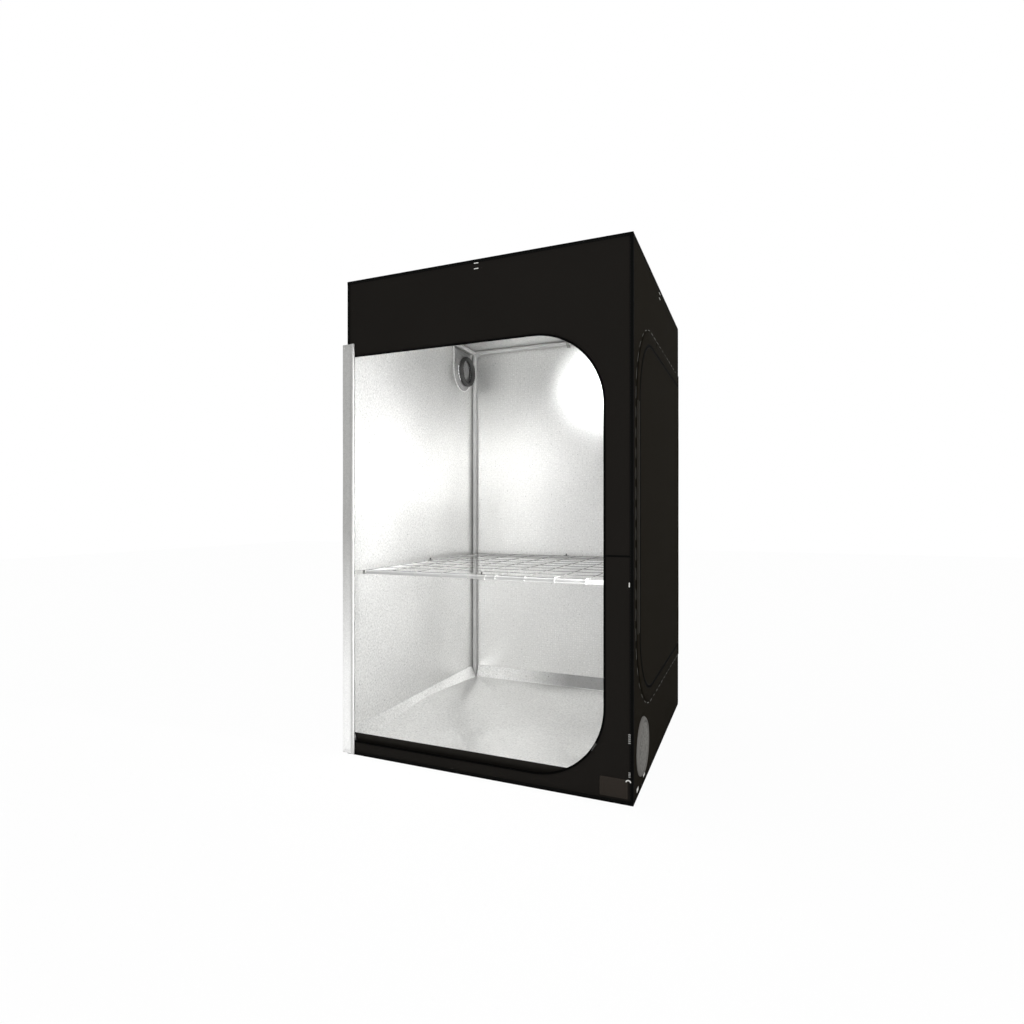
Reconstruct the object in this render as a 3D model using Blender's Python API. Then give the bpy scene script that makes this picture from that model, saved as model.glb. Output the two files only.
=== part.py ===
"""Indoor grow tent, modelled in metres with +Z up.

The origin is the centre of the footprint on the floor. X runs to the right
along the front, and Y runs from the front to the back.
"""

import math

import bmesh
import bpy
from mathutils import Matrix, Vector

# Overall size, outside the cover
TENT_WIDTH = 1.2
TENT_DEPTH = 1.2
TENT_HEIGHT = 1.98

# Cover, and the gap that neighbouring pieces keep
COVER_THICKNESS = 0.0012
CLEARANCE = 0.0003

# Frame tubes and their corner fittings
TUBE_DIAMETER = 0.025
TUBE_WALL = 0.0012
SPIGOT_LENGTH = 0.04
CORNER_ARM_ALONG = 0.046
CORNER_ARM_UP = 0.056
CORNER_WEB_THICKNESS = 0.002
CORNER_WEB_INSET = 0.001

# Straps that hold the cover to the middle of each top bar
STRAP_WIDTH = 0.019
STRAP_THICKNESS = 0.002
STRAP_DROP = 0.02
STRAP_TOP_GAP = math.radians(4)

# Front doorway, set in from the wall's edges: straight at the hinge, rounded at its free side
FRONT_MARGIN_LEFT = 0.037
FRONT_MARGIN_RIGHT = 0.105
FRONT_MARGIN_BOTTOM = 0.06
FRONT_MARGIN_TOP = 0.32
FRONT_OPENING_RADIUS = 0.25

# Side doorway in the right wall, set in from the wall's edges and hinged at the back
SIDE_MARGIN_FRONT = 0.11
SIDE_MARGIN_REAR = 0.037
SIDE_MARGIN_BOTTOM = 0.33
SIDE_MARGIN_TOP = 0.316
SIDE_OPENING_RADIUS = 0.25

# Doors
DOOR_THICKNESS = 0.0012
FRONT_DOOR_OVERLAP = 0.055
SIDE_DOOR_OVERLAP = 0.058
HINGE_PIPING_DIAMETER = 0.01
FRONT_DOOR_STRIP_WIDTH = 0.054
FOLD_SETBACK = 0.00075

# Zips
ZIP_TRACK_WIDTH = 0.008
ZIP_TRACK_THICKNESS = 0.0012
SLIDER_WIDTH = 0.009
SLIDER_LENGTH = 0.014
SLIDER_TAB_WIDTH = 0.005
SLIDER_TAB_LENGTH = 0.018
FRONT_SLIDER_ANGLE = math.radians(-29.6)
SIDE_SLIDER_HEIGHT = 1.0

# Floor tray, whose flat floor and folds are set in from the walls
TRAY_THICKNESS = 0.0012
TRAY_FLAT_MARGIN = 0.08
TRAY_FOLD_MARGIN = 0.05
TRAY_FOLD_HEIGHT = 0.011
TRAY_LIP_HEIGHT = 0.094
TRAY_NOTCH = 0.002

# Duct sleeve high in the rear of the left wall
DUCT_FROM_REAR = 0.15
DUCT_FROM_TOP = 0.155
SLEEVE_FLANGE_RADIUS = 0.108
SLEEVE_FLANGE_THICKNESS = 0.0012
SLEEVE_BASE_RADIUS = 0.1
SLEEVE_MOUTH_RADIUS = 0.0815
SLEEVE_LENGTH = 0.0155
SLEEVE_WALL = 0.0015
CUFF_OUTER_RADIUS = 0.085
CUFF_HOLE_RADIUS = 0.064
CUFF_LENGTH = 0.03
CUFF_ROUNDING = 0.003

# Round vent low in the front of the right wall
VENT_FROM_FRONT = 0.16
VENT_Z = 0.152
VENT_RADIUS = 0.105
VENT_MESH_RADIUS = 0.09
VENT_STANDOUT = 0.01
VENT_RIM_HEIGHT = 0.003
VENT_RIM_SLOPE = 0.006
VENT_MESH_THICKNESS = 0.0012
VENT_MESH_SETBACK = 0.005
VENT_MESH_CROWN = 0.003

# Blank sewn patch on the front
PATCH_FROM_RIGHT = 0.0688
PATCH_Z = 0.055
PATCH_WIDTH = 0.0995
PATCH_HEIGHT = 0.068
PATCH_THICKNESS = 0.001

# Trellis net on its sliding frame
NET_HEIGHT = 0.76
NET_BAR_DIAMETER = 0.016
NET_BAR_WALL = 0.001
NET_BAR_INSET = 0.036
NET_CELL = 0.12
NET_LINES = 10
NET_STRING = 0.0025
NET_STRING_END = 0.002
CLIP_WALL = 0.003
CLIP_HALF_ANGLE = math.radians(95)
CLIP_WEB_HALF = 0.006
CLIP_BLOCK_HALF = 0.011
COLLAR_LENGTH = 0.03
COLLAR_WALL = 0.003
COLLAR_BITE = 0.0012
PEG_RADIUS = 0.0035
PEG_HEIGHT = 0.021

# Facets of round shapes
TUBE_SIDES = 12
ROUND_SIDES = 32
CORNER_STEPS = 12
CLIP_STEPS = 8
PEG_SIDES = 8

# Share of the tube radius that the corner fitting's core reaches
CORE_SHARE = 0.94

# One overrun for every cut
OVERRUN = 0.01

# Directions: a panel is drawn with its outside along local +Z
FACING_FRONT = (math.pi / 2, 0, 0)
FACING_RIGHT = (math.pi / 2, 0, math.pi / 2)
FACING_REAR = (math.pi / 2, 0, math.pi)
FACING_LEFT = (math.pi / 2, 0, -math.pi / 2)
UPRIGHT = (0, 0, 0)
ALONG_X = (0, math.pi / 2, 0)
ALONG_Y = (-math.pi / 2, 0, 0)

# Looks: colour, roughness, metallic
BLACK_CANVAS = ((0.011, 0.010, 0.009), 0.75, 0.0)
SILVER_LINING = ((0.80, 0.80, 0.79), 0.45, 0.2)
GREY_STEEL = ((0.55, 0.55, 0.54), 0.35, 0.6)
WHITE_STEEL = ((0.74, 0.74, 0.72), 0.4, 0.2)
ZIP_BLACK = ((0.004, 0.005, 0.004), 0.6, 0.0)
ELASTIC_BLACK = ((0.012, 0.012, 0.012), 0.8, 0.0)
VENT_GREY = ((0.147, 0.144, 0.135), 0.7, 0.0)
NET_WHITE = ((0.82, 0.82, 0.80), 0.7, 0.0)
CLIP_GREY = ((0.20, 0.20, 0.19), 0.5, 0.0)
SLIDER_METAL = ((0.35, 0.35, 0.34), 0.3, 0.9)
PATCH_BROWN = ((0.028, 0.023, 0.019), 0.7, 0.0)

# Places that several pieces share
HALF_WIDTH = TENT_WIDTH / 2
HALF_DEPTH = TENT_DEPTH / 2
INSIDE_HALF_WIDTH = HALF_WIDTH - COVER_THICKNESS
INSIDE_HALF_DEPTH = HALF_DEPTH - COVER_THICKNESS
TUBE_RADIUS = TUBE_DIAMETER / 2
POST_X = INSIDE_HALF_WIDTH - CLEARANCE - TUBE_RADIUS
POST_Y = INSIDE_HALF_DEPTH - CLEARANCE - TUBE_RADIUS
BOTTOM_BAR_Z = COVER_THICKNESS + CLEARANCE + TUBE_RADIUS
TOP_BAR_Z = TENT_HEIGHT - BOTTOM_BAR_Z
WALL_BOTTOM = COVER_THICKNESS + CLEARANCE
WALL_TOP = TENT_HEIGHT - WALL_BOTTOM
FRONT_OPENING_LEFT = -HALF_WIDTH + FRONT_MARGIN_LEFT
FRONT_OPENING_RIGHT = HALF_WIDTH - FRONT_MARGIN_RIGHT
FRONT_OPENING_BOTTOM = FRONT_MARGIN_BOTTOM
FRONT_OPENING_TOP = TENT_HEIGHT - FRONT_MARGIN_TOP
SIDE_OPENING_FRONT = -HALF_DEPTH + SIDE_MARGIN_FRONT
SIDE_OPENING_REAR = HALF_DEPTH - SIDE_MARGIN_REAR
SIDE_OPENING_BOTTOM = SIDE_MARGIN_BOTTOM
SIDE_OPENING_TOP = TENT_HEIGHT - SIDE_MARGIN_TOP
DUCT_Y = HALF_DEPTH - DUCT_FROM_REAR
DUCT_Z = TENT_HEIGHT - DUCT_FROM_TOP
VENT_Y = -HALF_DEPTH + VENT_FROM_FRONT
PATCH_X = HALF_WIDTH - PATCH_FROM_RIGHT
PIPING_RADIUS = HINGE_PIPING_DIAMETER / 2
HINGE_STANDOFF = CLEARANCE + PIPING_RADIUS
FRONT_HINGE_X = FRONT_OPENING_LEFT - PIPING_RADIUS
FRONT_HINGE_Y = -HALF_DEPTH - HINGE_STANDOFF
FOLD_X = FRONT_HINGE_X - FRONT_DOOR_STRIP_WIDTH
SIDE_HINGE_X = HALF_WIDTH + HINGE_STANDOFF
SIDE_HINGE_Y = SIDE_OPENING_REAR + PIPING_RADIUS
FRONT_DOOR_BOTTOM = FRONT_OPENING_BOTTOM - FRONT_DOOR_OVERLAP
FRONT_DOOR_TOP = FRONT_OPENING_TOP + FRONT_DOOR_OVERLAP
SIDE_DOOR_BOTTOM = SIDE_OPENING_BOTTOM - SIDE_DOOR_OVERLAP
SIDE_DOOR_TOP = SIDE_OPENING_TOP + SIDE_DOOR_OVERLAP
NET_X = POST_X - NET_BAR_INSET
NET_Y = POST_Y - NET_BAR_INSET
NET_BAR_RADIUS = NET_BAR_DIAMETER / 2


def clear_scene():
    for item in list(bpy.data.objects):
        bpy.data.objects.remove(item, do_unlink=True)


def make_mesh(name, vertices, faces):
    """Build a closed mesh with its faces pointing out and long faces split."""
    mesh = bpy.data.meshes.new(name)
    mesh.from_pydata(vertices, [], faces)
    shell = bmesh.new()
    shell.from_mesh(mesh)
    bmesh.ops.recalc_face_normals(shell, faces=shell.faces)
    long_faces = [face for face in shell.faces if len(face.verts) > 4]
    bmesh.ops.triangulate(shell, faces=long_faces)
    shell.to_mesh(mesh)
    shell.free()
    return mesh


def block(name, low, high):
    """A plain box between two opposite corners."""
    corners = [
        (x, y, z)
        for x in (low[0], high[0])
        for y in (low[1], high[1])
        for z in (low[2], high[2])
    ]
    faces = [
        (0, 1, 3, 2),
        (4, 6, 7, 5),
        (0, 4, 5, 1),
        (2, 3, 7, 6),
        (0, 2, 6, 4),
        (1, 5, 7, 3),
    ]
    return make_mesh(name, corners, faces)


def extruded(name, outline, low, high):
    """Extrude an outline in the XY plane from one height to another."""
    count = len(outline)
    vertices = [(x, y, low) for x, y in outline]
    vertices += [(x, y, high) for x, y in outline]
    faces = [tuple(range(count)), tuple(range(count, count + count))]
    for index in range(count):
        after = (index + 1) % count
        faces.append((index, after, count + after, count + index))
    return make_mesh(name, vertices, faces)


def banded(name, inner, outer, low, high):
    """Extrude the strip between two open paths that have as many points."""
    count = len(inner)
    vertices = []
    for height in (low, high):
        vertices += [(x, y, height) for x, y in inner]
        vertices += [(x, y, height) for x, y in outer]
    upper = count + count
    faces = []
    for index in range(count - 1):
        after = index + 1
        faces.append((index, after, count + after, count + index))
        faces.append((upper + index, upper + after, upper + count + after, upper + count + index))
        faces.append((index, after, upper + after, upper + index))
        faces.append((count + index, count + after, upper + count + after, upper + count + index))
    for end in (0, count - 1):
        faces.append((end, count + end, upper + count + end, upper + end))
    return make_mesh(name, vertices, faces)


def turned(name, profile, sides):
    """Revolve a profile of (radius, height) pairs about Z.

    A profile that starts and ends on the axis gives a solid, and any other
    profile is closed on itself and gives a ring.
    """
    vertices = []
    rings = []
    for radius, height in profile:
        if radius == 0:
            rings.append([len(vertices)] * sides)
            vertices.append((0, 0, height))
            continue
        ring = []
        for side in range(sides):
            angle = math.tau * side / sides
            ring.append(len(vertices))
            vertices.append((radius * math.cos(angle), radius * math.sin(angle), height))
        rings.append(ring)
    pairs = list(zip(rings, rings[1:]))
    if profile[0][0] != 0:
        pairs.append((rings[-1], rings[0]))
    faces = []
    for lower, upper in pairs:
        for side in range(sides):
            after = (side + 1) % sides
            corners = [lower[side], lower[after], upper[after], upper[side]]
            face = tuple(dict.fromkeys(corners))
            if len(face) > 2:
                faces.append(face)
    return make_mesh(name, vertices, faces)


def combined(name, base, others, operation):
    """Join the base mesh with the others, or cut the others from it."""
    holder = bpy.data.objects.new(name, base)
    bpy.context.scene.collection.objects.link(holder)
    helpers = []
    for other in others:
        helper = bpy.data.objects.new(name + "_helper", other)
        helper.hide_render = True
        helper.display_type = "WIRE"
        bpy.context.scene.collection.objects.link(helper)
        helpers.append(helper)
        modifier = holder.modifiers.new("shape", "BOOLEAN")
        modifier.operation = operation
        modifier.solver = "EXACT"
        modifier.object = helper
    graph = bpy.context.evaluated_depsgraph_get()
    result = bpy.data.meshes.new_from_object(holder.evaluated_get(graph))
    for item in helpers + [holder]:
        bpy.data.objects.remove(item, do_unlink=True)
    return result


def moved(mesh, matrix):
    mesh.transform(matrix)
    return mesh


def place(name, mesh, look, location=(0, 0, 0), rotation=UPRIGHT, parent=None, smooth=False):
    """Make the named piece from its mesh, with its own material."""
    piece = bpy.data.objects.new(name, mesh)
    bpy.context.scene.collection.objects.link(piece)
    piece.location = location
    piece.rotation_euler = rotation
    if parent is not None:
        piece.parent = parent
    if smooth:
        mesh.shade_smooth()
        mesh.set_sharp_from_angle(angle=math.radians(35))
    colour, roughness, metallic = look
    material = bpy.data.materials.new(name + "_material")
    material.use_nodes = True
    shader = material.node_tree.nodes["Principled BSDF"]
    shader.inputs["Base Color"].default_value = (*colour, 1.0)
    shader.inputs["Roughness"].default_value = roughness
    shader.inputs["Metallic"].default_value = metallic
    if len(mesh.materials) == 0:
        mesh.materials.append(material)
    piece.material_slots[0].link = "OBJECT"
    piece.material_slots[0].material = material
    return piece


def pivot(name, location):
    """An empty that stands on a joint's axis."""
    empty = bpy.data.objects.new(name, None)
    bpy.context.scene.collection.objects.link(empty)
    empty.location = location
    return empty


def doorway_path(hinge, free, bottom, top, radius):
    """The open path round a doorway, from its hinge side and back to it."""
    side = 1 if free > hinge else -1
    path = [(hinge, bottom)]
    for step in range(CORNER_STEPS + 1):
        angle = math.pi / 2 * step / CORNER_STEPS
        across = free - side * radius + side * radius * math.sin(angle)
        path.append((across, bottom + radius - radius * math.cos(angle)))
    for step in range(CORNER_STEPS + 1):
        angle = math.pi / 2 * step / CORNER_STEPS
        across = free - side * radius + side * radius * math.cos(angle)
        path.append((across, top - radius + radius * math.sin(angle)))
    path.append((hinge, top))
    return path


def tube(name, length):
    inner = TUBE_RADIUS - TUBE_WALL
    profile = [(TUBE_RADIUS, 0), (TUBE_RADIUS, length), (inner, length), (inner, 0)]
    return turned(name, profile, TUBE_SIDES)


def make_cover():
    """The six panels of the cover."""
    width = (-HALF_WIDTH, HALF_WIDTH)
    depth = (-INSIDE_HALF_DEPTH + CLEARANCE, INSIDE_HALF_DEPTH - CLEARANCE)
    sheet = (-COVER_THICKNESS, 0)
    cut = (-COVER_THICKNESS - OVERRUN, OVERRUN)

    ground = block("ground_sheet", (width[0], -HALF_DEPTH, 0), (width[1], HALF_DEPTH, COVER_THICKNESS))
    place("ground_sheet", ground, BLACK_CANVAS)
    roof = block("roof_panel", (width[0], -HALF_DEPTH, -COVER_THICKNESS), (width[1], HALF_DEPTH, 0))
    place("roof_panel", roof, BLACK_CANVAS, (0, 0, TENT_HEIGHT))

    rear = block("rear_wall", (width[0], WALL_BOTTOM, sheet[0]), (width[1], WALL_TOP, sheet[1]))
    place("rear_wall", rear, BLACK_CANVAS, (0, HALF_DEPTH, 0), FACING_REAR)

    front = block("front_wall", (width[0], WALL_BOTTOM, sheet[0]), (width[1], WALL_TOP, sheet[1]))
    doorway = doorway_path(
        FRONT_OPENING_LEFT,
        FRONT_OPENING_RIGHT,
        FRONT_OPENING_BOTTOM,
        FRONT_OPENING_TOP,
        FRONT_OPENING_RADIUS,
    )
    cutter = extruded("front_doorway", doorway, cut[0], cut[1])
    front = combined("front_wall", front, [cutter], "DIFFERENCE")
    place("front_wall", front, BLACK_CANVAS, (0, -HALF_DEPTH, 0), FACING_FRONT)

    left = block("left_wall", (depth[0], WALL_BOTTOM, sheet[0]), (depth[1], WALL_TOP, sheet[1]))
    bore = SLEEVE_BASE_RADIUS - SLEEVE_WALL
    cutter = turned("duct_hole", [(0, cut[0]), (bore, cut[0]), (bore, cut[1]), (0, cut[1])], ROUND_SIDES)
    moved(cutter, Matrix.Translation((-DUCT_Y, DUCT_Z, 0)))
    left = combined("left_wall", left, [cutter], "DIFFERENCE")
    place("left_wall", left, BLACK_CANVAS, (-HALF_WIDTH, 0, 0), FACING_LEFT)

    right = block("right_wall", (depth[0], WALL_BOTTOM, sheet[0]), (depth[1], WALL_TOP, sheet[1]))
    doorway = doorway_path(
        SIDE_OPENING_REAR,
        SIDE_OPENING_FRONT,
        SIDE_OPENING_BOTTOM,
        SIDE_OPENING_TOP,
        SIDE_OPENING_RADIUS,
    )
    door_cutter = extruded("side_doorway", doorway, cut[0], cut[1])
    bore = VENT_MESH_RADIUS
    vent_cutter = turned("vent_hole", [(0, cut[0]), (bore, cut[0]), (bore, cut[1]), (0, cut[1])], ROUND_SIDES)
    moved(vent_cutter, Matrix.Translation((VENT_Y, VENT_Z, 0)))
    right = combined("right_wall", right, [door_cutter, vent_cutter], "DIFFERENCE")
    place("right_wall", right, BLACK_CANVAS, (HALF_WIDTH, 0, 0), FACING_RIGHT)


def make_tray():
    """Floor tray with a flat bottom and four slanting lips, open at the corners."""
    floor_z = COVER_THICKNESS + CLEARANCE + TRAY_THICKNESS
    rim_inset = COVER_THICKNESS + CLEARANCE + TRAY_THICKNESS
    vertices = []
    faces = []
    sides = ((0, HALF_WIDTH, HALF_DEPTH), (1, HALF_DEPTH, HALF_WIDTH))
    sides += ((2, HALF_WIDTH, HALF_DEPTH), (3, HALF_DEPTH, HALF_WIDTH))
    for quarter, half_length, half_reach in sides:
        end = half_length - TRAY_FOLD_MARGIN - TRAY_NOTCH
        fold = half_reach - TRAY_FOLD_MARGIN
        rim = half_reach - rim_inset
        side = [
            (half_length - TRAY_FLAT_MARGIN, TRAY_FLAT_MARGIN - half_reach, floor_z),
            (end, -fold, TRAY_FOLD_HEIGHT),
            (-end, -fold, TRAY_FOLD_HEIGHT),
            (end, -rim, TRAY_LIP_HEIGHT),
            (-end, -rim, TRAY_LIP_HEIGHT),
        ]
        turn = Matrix.Rotation(quarter * math.pi / 2, 4, "Z")
        vertices += [tuple(turn @ Vector(point)) for point in side]
    step = len(side)
    count = len(sides)
    faces.append(tuple(index * step for index in range(count)))
    for index in range(count):
        here = index * step
        before = (index - 1) % count * step
        after = (index + 1) % count * step
        faces.append((before, here + 2, here + 1, here))
        faces.append((here, here + 1, after + 2))
        faces.append((here + 1, here + 2, here + 4, here + 3))
    mesh = bpy.data.meshes.new("floor_tray")
    mesh.from_pydata(vertices, [], faces)
    shell = bmesh.new()
    shell.from_mesh(mesh)
    bmesh.ops.recalc_face_normals(shell, faces=shell.faces)
    shell.faces.ensure_lookup_table()
    if shell.faces[0].normal.z < 0:
        bmesh.ops.reverse_faces(shell, faces=shell.faces)
    shell.to_mesh(mesh)
    shell.free()
    tray = place("floor_tray", mesh, SILVER_LINING)
    solidify = tray.modifiers.new("thickness", "SOLIDIFY")
    solidify.thickness = TRAY_THICKNESS
    solidify.offset = -1
    solidify.use_even_offset = True


def corner_mesh():
    """A corner fitting for the right rear top corner, its node at the origin."""
    radius = TUBE_RADIUS
    spigot = TUBE_RADIUS - TUBE_WALL - CLEARANCE
    arms = []
    for length, turn in (
        (CORNER_ARM_ALONG, Matrix.Rotation(-math.pi / 2, 4, "Y")),
        (CORNER_ARM_ALONG, Matrix.Rotation(math.pi / 2, 4, "X")),
        (CORNER_ARM_UP, Matrix.Rotation(math.pi, 4, "X")),
    ):
        tip = length + SPIGOT_LENGTH
        profile = [(0, 0), (radius, 0), (radius, length), (spigot, length), (spigot, tip), (0, tip)]
        arms.append(moved(turned("arm", profile, TUBE_SIDES), turn))
    core = radius * CORE_SHARE
    base = block("core", (-core, -core, -core), (core, core, core))
    along = CORNER_ARM_ALONG - CORNER_WEB_INSET
    down = CORNER_ARM_UP - CORNER_WEB_INSET
    half = CORNER_WEB_THICKNESS / 2
    triangle = [(0, 0), (-along, 0), (0, -down)]
    stand = Matrix.Rotation(math.pi / 2, 4, "X")
    rear_web = moved(extruded("web", triangle, -half, half), stand)
    side_web = moved(extruded("web", triangle, -half, half), Matrix.Rotation(math.pi / 2, 4, "Z") @ stand)
    return combined("corner", base, arms + [rear_web, side_web], "UNION")


def make_frame():
    """Posts, bars and corner fittings."""
    joint = CORNER_ARM_ALONG + CLEARANCE
    bar_x = POST_X + POST_X - joint - joint
    bar_y = POST_Y + POST_Y - joint - joint
    post_bottom = BOTTOM_BAR_Z + CORNER_ARM_UP + CLEARANCE
    post_top = TOP_BAR_Z - CORNER_ARM_UP - CLEARANCE
    corners = (
        ("rear_right", 1, 1, 0),
        ("rear_left", -1, 1, math.pi / 2),
        ("front_left", -1, -1, math.pi),
        ("front_right", 1, -1, -math.pi / 2),
    )
    fitting = corner_mesh()
    for label, side, end, turn in corners:
        spot = (side * POST_X, end * POST_Y)
        post = tube("post_" + label, post_top - post_bottom)
        place("post_" + label, post, GREY_STEEL, (*spot, post_bottom), smooth=True)
        top = fitting.copy()
        place("top_corner_" + label, top, GREY_STEEL, (*spot, TOP_BAR_Z), (0, 0, turn))
        bottom = fitting.copy()
        flipped = (math.pi, 0, turn + math.pi / 2)
        place("bottom_corner_" + label, bottom, GREY_STEEL, (*spot, BOTTOM_BAR_Z), flipped)
    for level, height in (("top", TOP_BAR_Z), ("bottom", BOTTOM_BAR_Z)):
        for label, end in (("front", -1), ("rear", 1)):
            name = level + "_bar_" + label
            start = (-POST_X + joint, end * POST_Y, height)
            place(name, tube(name, bar_x), GREY_STEEL, start, ALONG_X, smooth=True)
        for label, side in (("left", -1), ("right", 1)):
            name = level + "_bar_" + label
            start = (side * POST_X, -POST_Y + joint, height)
            place(name, tube(name, bar_y), GREY_STEEL, start, ALONG_Y, smooth=True)


def make_straps():
    """A strap round the middle of each top bar, sewn to the wall below it."""
    inner = TUBE_RADIUS + CLEARANCE
    outer = inner + STRAP_THICKNESS
    start = math.asin(TUBE_RADIUS / outer) - STRAP_TOP_GAP
    inner_path = []
    outer_path = []
    for step in range(CLIP_STEPS + 1):
        angle = start - (start + math.pi / 2) * step / CLIP_STEPS
        inner_path.append((inner * math.cos(angle), inner * math.sin(angle)))
        outer_path.append((outer * math.cos(angle), outer * math.sin(angle)))
    inner_path.append((-TUBE_RADIUS, -STRAP_DROP))
    outer_path.append((-TUBE_RADIUS, -STRAP_DROP - STRAP_THICKNESS))
    half = STRAP_WIDTH / 2
    places = (
        ("front", (0, -POST_Y), FACING_RIGHT),
        ("rear", (0, POST_Y), FACING_LEFT),
        ("left", (-POST_X, 0), FACING_FRONT),
        ("right", (POST_X, 0), FACING_REAR),
    )
    for label, spot, rotation in places:
        name = "top_bar_strap_" + label
        mesh = banded(name, inner_path, outer_path, -half, half)
        place(name, mesh, CLIP_GREY, (*spot, TOP_BAR_Z), rotation, smooth=True)


def slider_outline():
    body = SLIDER_WIDTH / 2
    tab = SLIDER_TAB_WIDTH / 2
    half = SLIDER_LENGTH / 2
    end = half + SLIDER_TAB_LENGTH
    return [
        (-body, half),
        (-body, -half),
        (-tab, -half),
        (-tab, -end),
        (tab, -end),
        (tab, -half),
        (body, -half),
        (body, half),
    ]


def track_mesh(name, hinge, free, bottom, top, radius):
    """The zip tape along the free edges of a doorway."""
    side = 1 if free > hinge else -1
    start = hinge + side * CLEARANCE
    width = ZIP_TRACK_WIDTH
    inner = doorway_path(start, free, bottom, top, radius)
    outer = doorway_path(start, free + side * width, bottom - width, top + width, radius + width)
    return banded(name, inner, outer, CLEARANCE, CLEARANCE + ZIP_TRACK_THICKNESS)


def make_doors():
    """Hinge piping, zips, sliders and both doors."""
    door = DOOR_THICKNESS / 2
    gap = PIPING_RADIUS + CLEARANCE
    slider_low = CLEARANCE + ZIP_TRACK_THICKNESS + CLEARANCE
    slider_high = HINGE_STANDOFF - door - CLEARANCE

    # Front: piping, folded strip and the large panel behind it
    length = FRONT_DOOR_TOP - FRONT_DOOR_BOTTOM
    rod = [(0, 0), (PIPING_RADIUS, 0), (PIPING_RADIUS, length), (0, length)]
    piping = turned("front_hinge_piping", rod, TUBE_SIDES)
    spot = (FRONT_HINGE_X, FRONT_HINGE_Y, FRONT_DOOR_BOTTOM)
    place("front_hinge_piping", piping, SILVER_LINING, spot, smooth=True)
    front_pivot = pivot("front_door_pivot", (FRONT_HINGE_X, FRONT_HINGE_Y, 0))
    far = FRONT_DOOR_STRIP_WIDTH - FOLD_SETBACK
    strip = block("front_door_strip", (gap, FRONT_DOOR_BOTTOM, -door), (far, FRONT_DOOR_TOP, door))
    place("front_door_strip", strip, SILVER_LINING, rotation=FACING_REAR, parent=front_pivot)
    fold_pivot = pivot("front_door_fold_pivot", (FOLD_X - FRONT_HINGE_X, 0, 0))
    fold_pivot.parent = front_pivot
    reach = FRONT_OPENING_RIGHT + FRONT_DOOR_OVERLAP - FRONT_HINGE_X - FRONT_DOOR_STRIP_WIDTH
    radius = FRONT_OPENING_RADIUS + FRONT_DOOR_OVERLAP
    outline = doorway_path(FOLD_SETBACK, reach, FRONT_DOOR_BOTTOM, FRONT_DOOR_TOP, radius)
    panel = extruded("front_door_panel", outline, -door, door)
    place("front_door_panel", panel, SILVER_LINING, rotation=FACING_RIGHT, parent=fold_pivot)
    opening = (
        FRONT_OPENING_LEFT,
        FRONT_OPENING_RIGHT,
        FRONT_OPENING_BOTTOM,
        FRONT_OPENING_TOP,
        FRONT_OPENING_RADIUS,
    )
    track = track_mesh("front_zip_track", *opening)
    place("front_zip_track", track, ZIP_BLACK, (0, -HALF_DEPTH, 0), FACING_FRONT)
    travel = FRONT_OPENING_RADIUS + ZIP_TRACK_WIDTH / 2
    slider = extruded("front_zip_slider", slider_outline(), slider_low, slider_high)
    moved(slider, Matrix.Translation((travel, 0, 0)))
    moved(slider, Matrix.Rotation(FRONT_SLIDER_ANGLE, 4, "Z"))
    centre_x = FRONT_OPENING_RIGHT - FRONT_OPENING_RADIUS
    centre_z = FRONT_OPENING_BOTTOM + FRONT_OPENING_RADIUS
    place("front_zip_slider", slider, SLIDER_METAL, (centre_x, -HALF_DEPTH, centre_z), FACING_FRONT)

    # Side: piping, closed door and its zip
    length = SIDE_DOOR_TOP - SIDE_DOOR_BOTTOM
    rod = [(0, 0), (PIPING_RADIUS, 0), (PIPING_RADIUS, length), (0, length)]
    piping = turned("side_hinge_piping", rod, TUBE_SIDES)
    spot = (SIDE_HINGE_X, SIDE_HINGE_Y, SIDE_DOOR_BOTTOM)
    place("side_hinge_piping", piping, BLACK_CANVAS, spot, smooth=True)
    side_pivot = pivot("side_door_pivot", (SIDE_HINGE_X, SIDE_HINGE_Y, 0))
    reach = SIDE_HINGE_Y - SIDE_OPENING_FRONT + SIDE_DOOR_OVERLAP
    radius = SIDE_OPENING_RADIUS + SIDE_DOOR_OVERLAP
    outline = doorway_path(gap, reach, SIDE_DOOR_BOTTOM, SIDE_DOOR_TOP, radius)
    panel = extruded("side_door", outline, -door, door)
    place("side_door", panel, BLACK_CANVAS, rotation=FACING_LEFT, parent=side_pivot)
    opening = (
        SIDE_OPENING_REAR,
        SIDE_OPENING_FRONT,
        SIDE_OPENING_BOTTOM,
        SIDE_OPENING_TOP,
        SIDE_OPENING_RADIUS,
    )
    track = track_mesh("side_zip_track", *opening)
    place("side_zip_track", track, ZIP_BLACK, (HALF_WIDTH, 0, 0), FACING_RIGHT)
    slider = extruded("side_zip_slider", slider_outline(), slider_low, slider_high)
    spot = (HALF_WIDTH, SIDE_OPENING_FRONT - ZIP_TRACK_WIDTH / 2, SIDE_SLIDER_HEIGHT)
    place("side_zip_slider", slider, SLIDER_METAL, spot, FACING_RIGHT)


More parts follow.
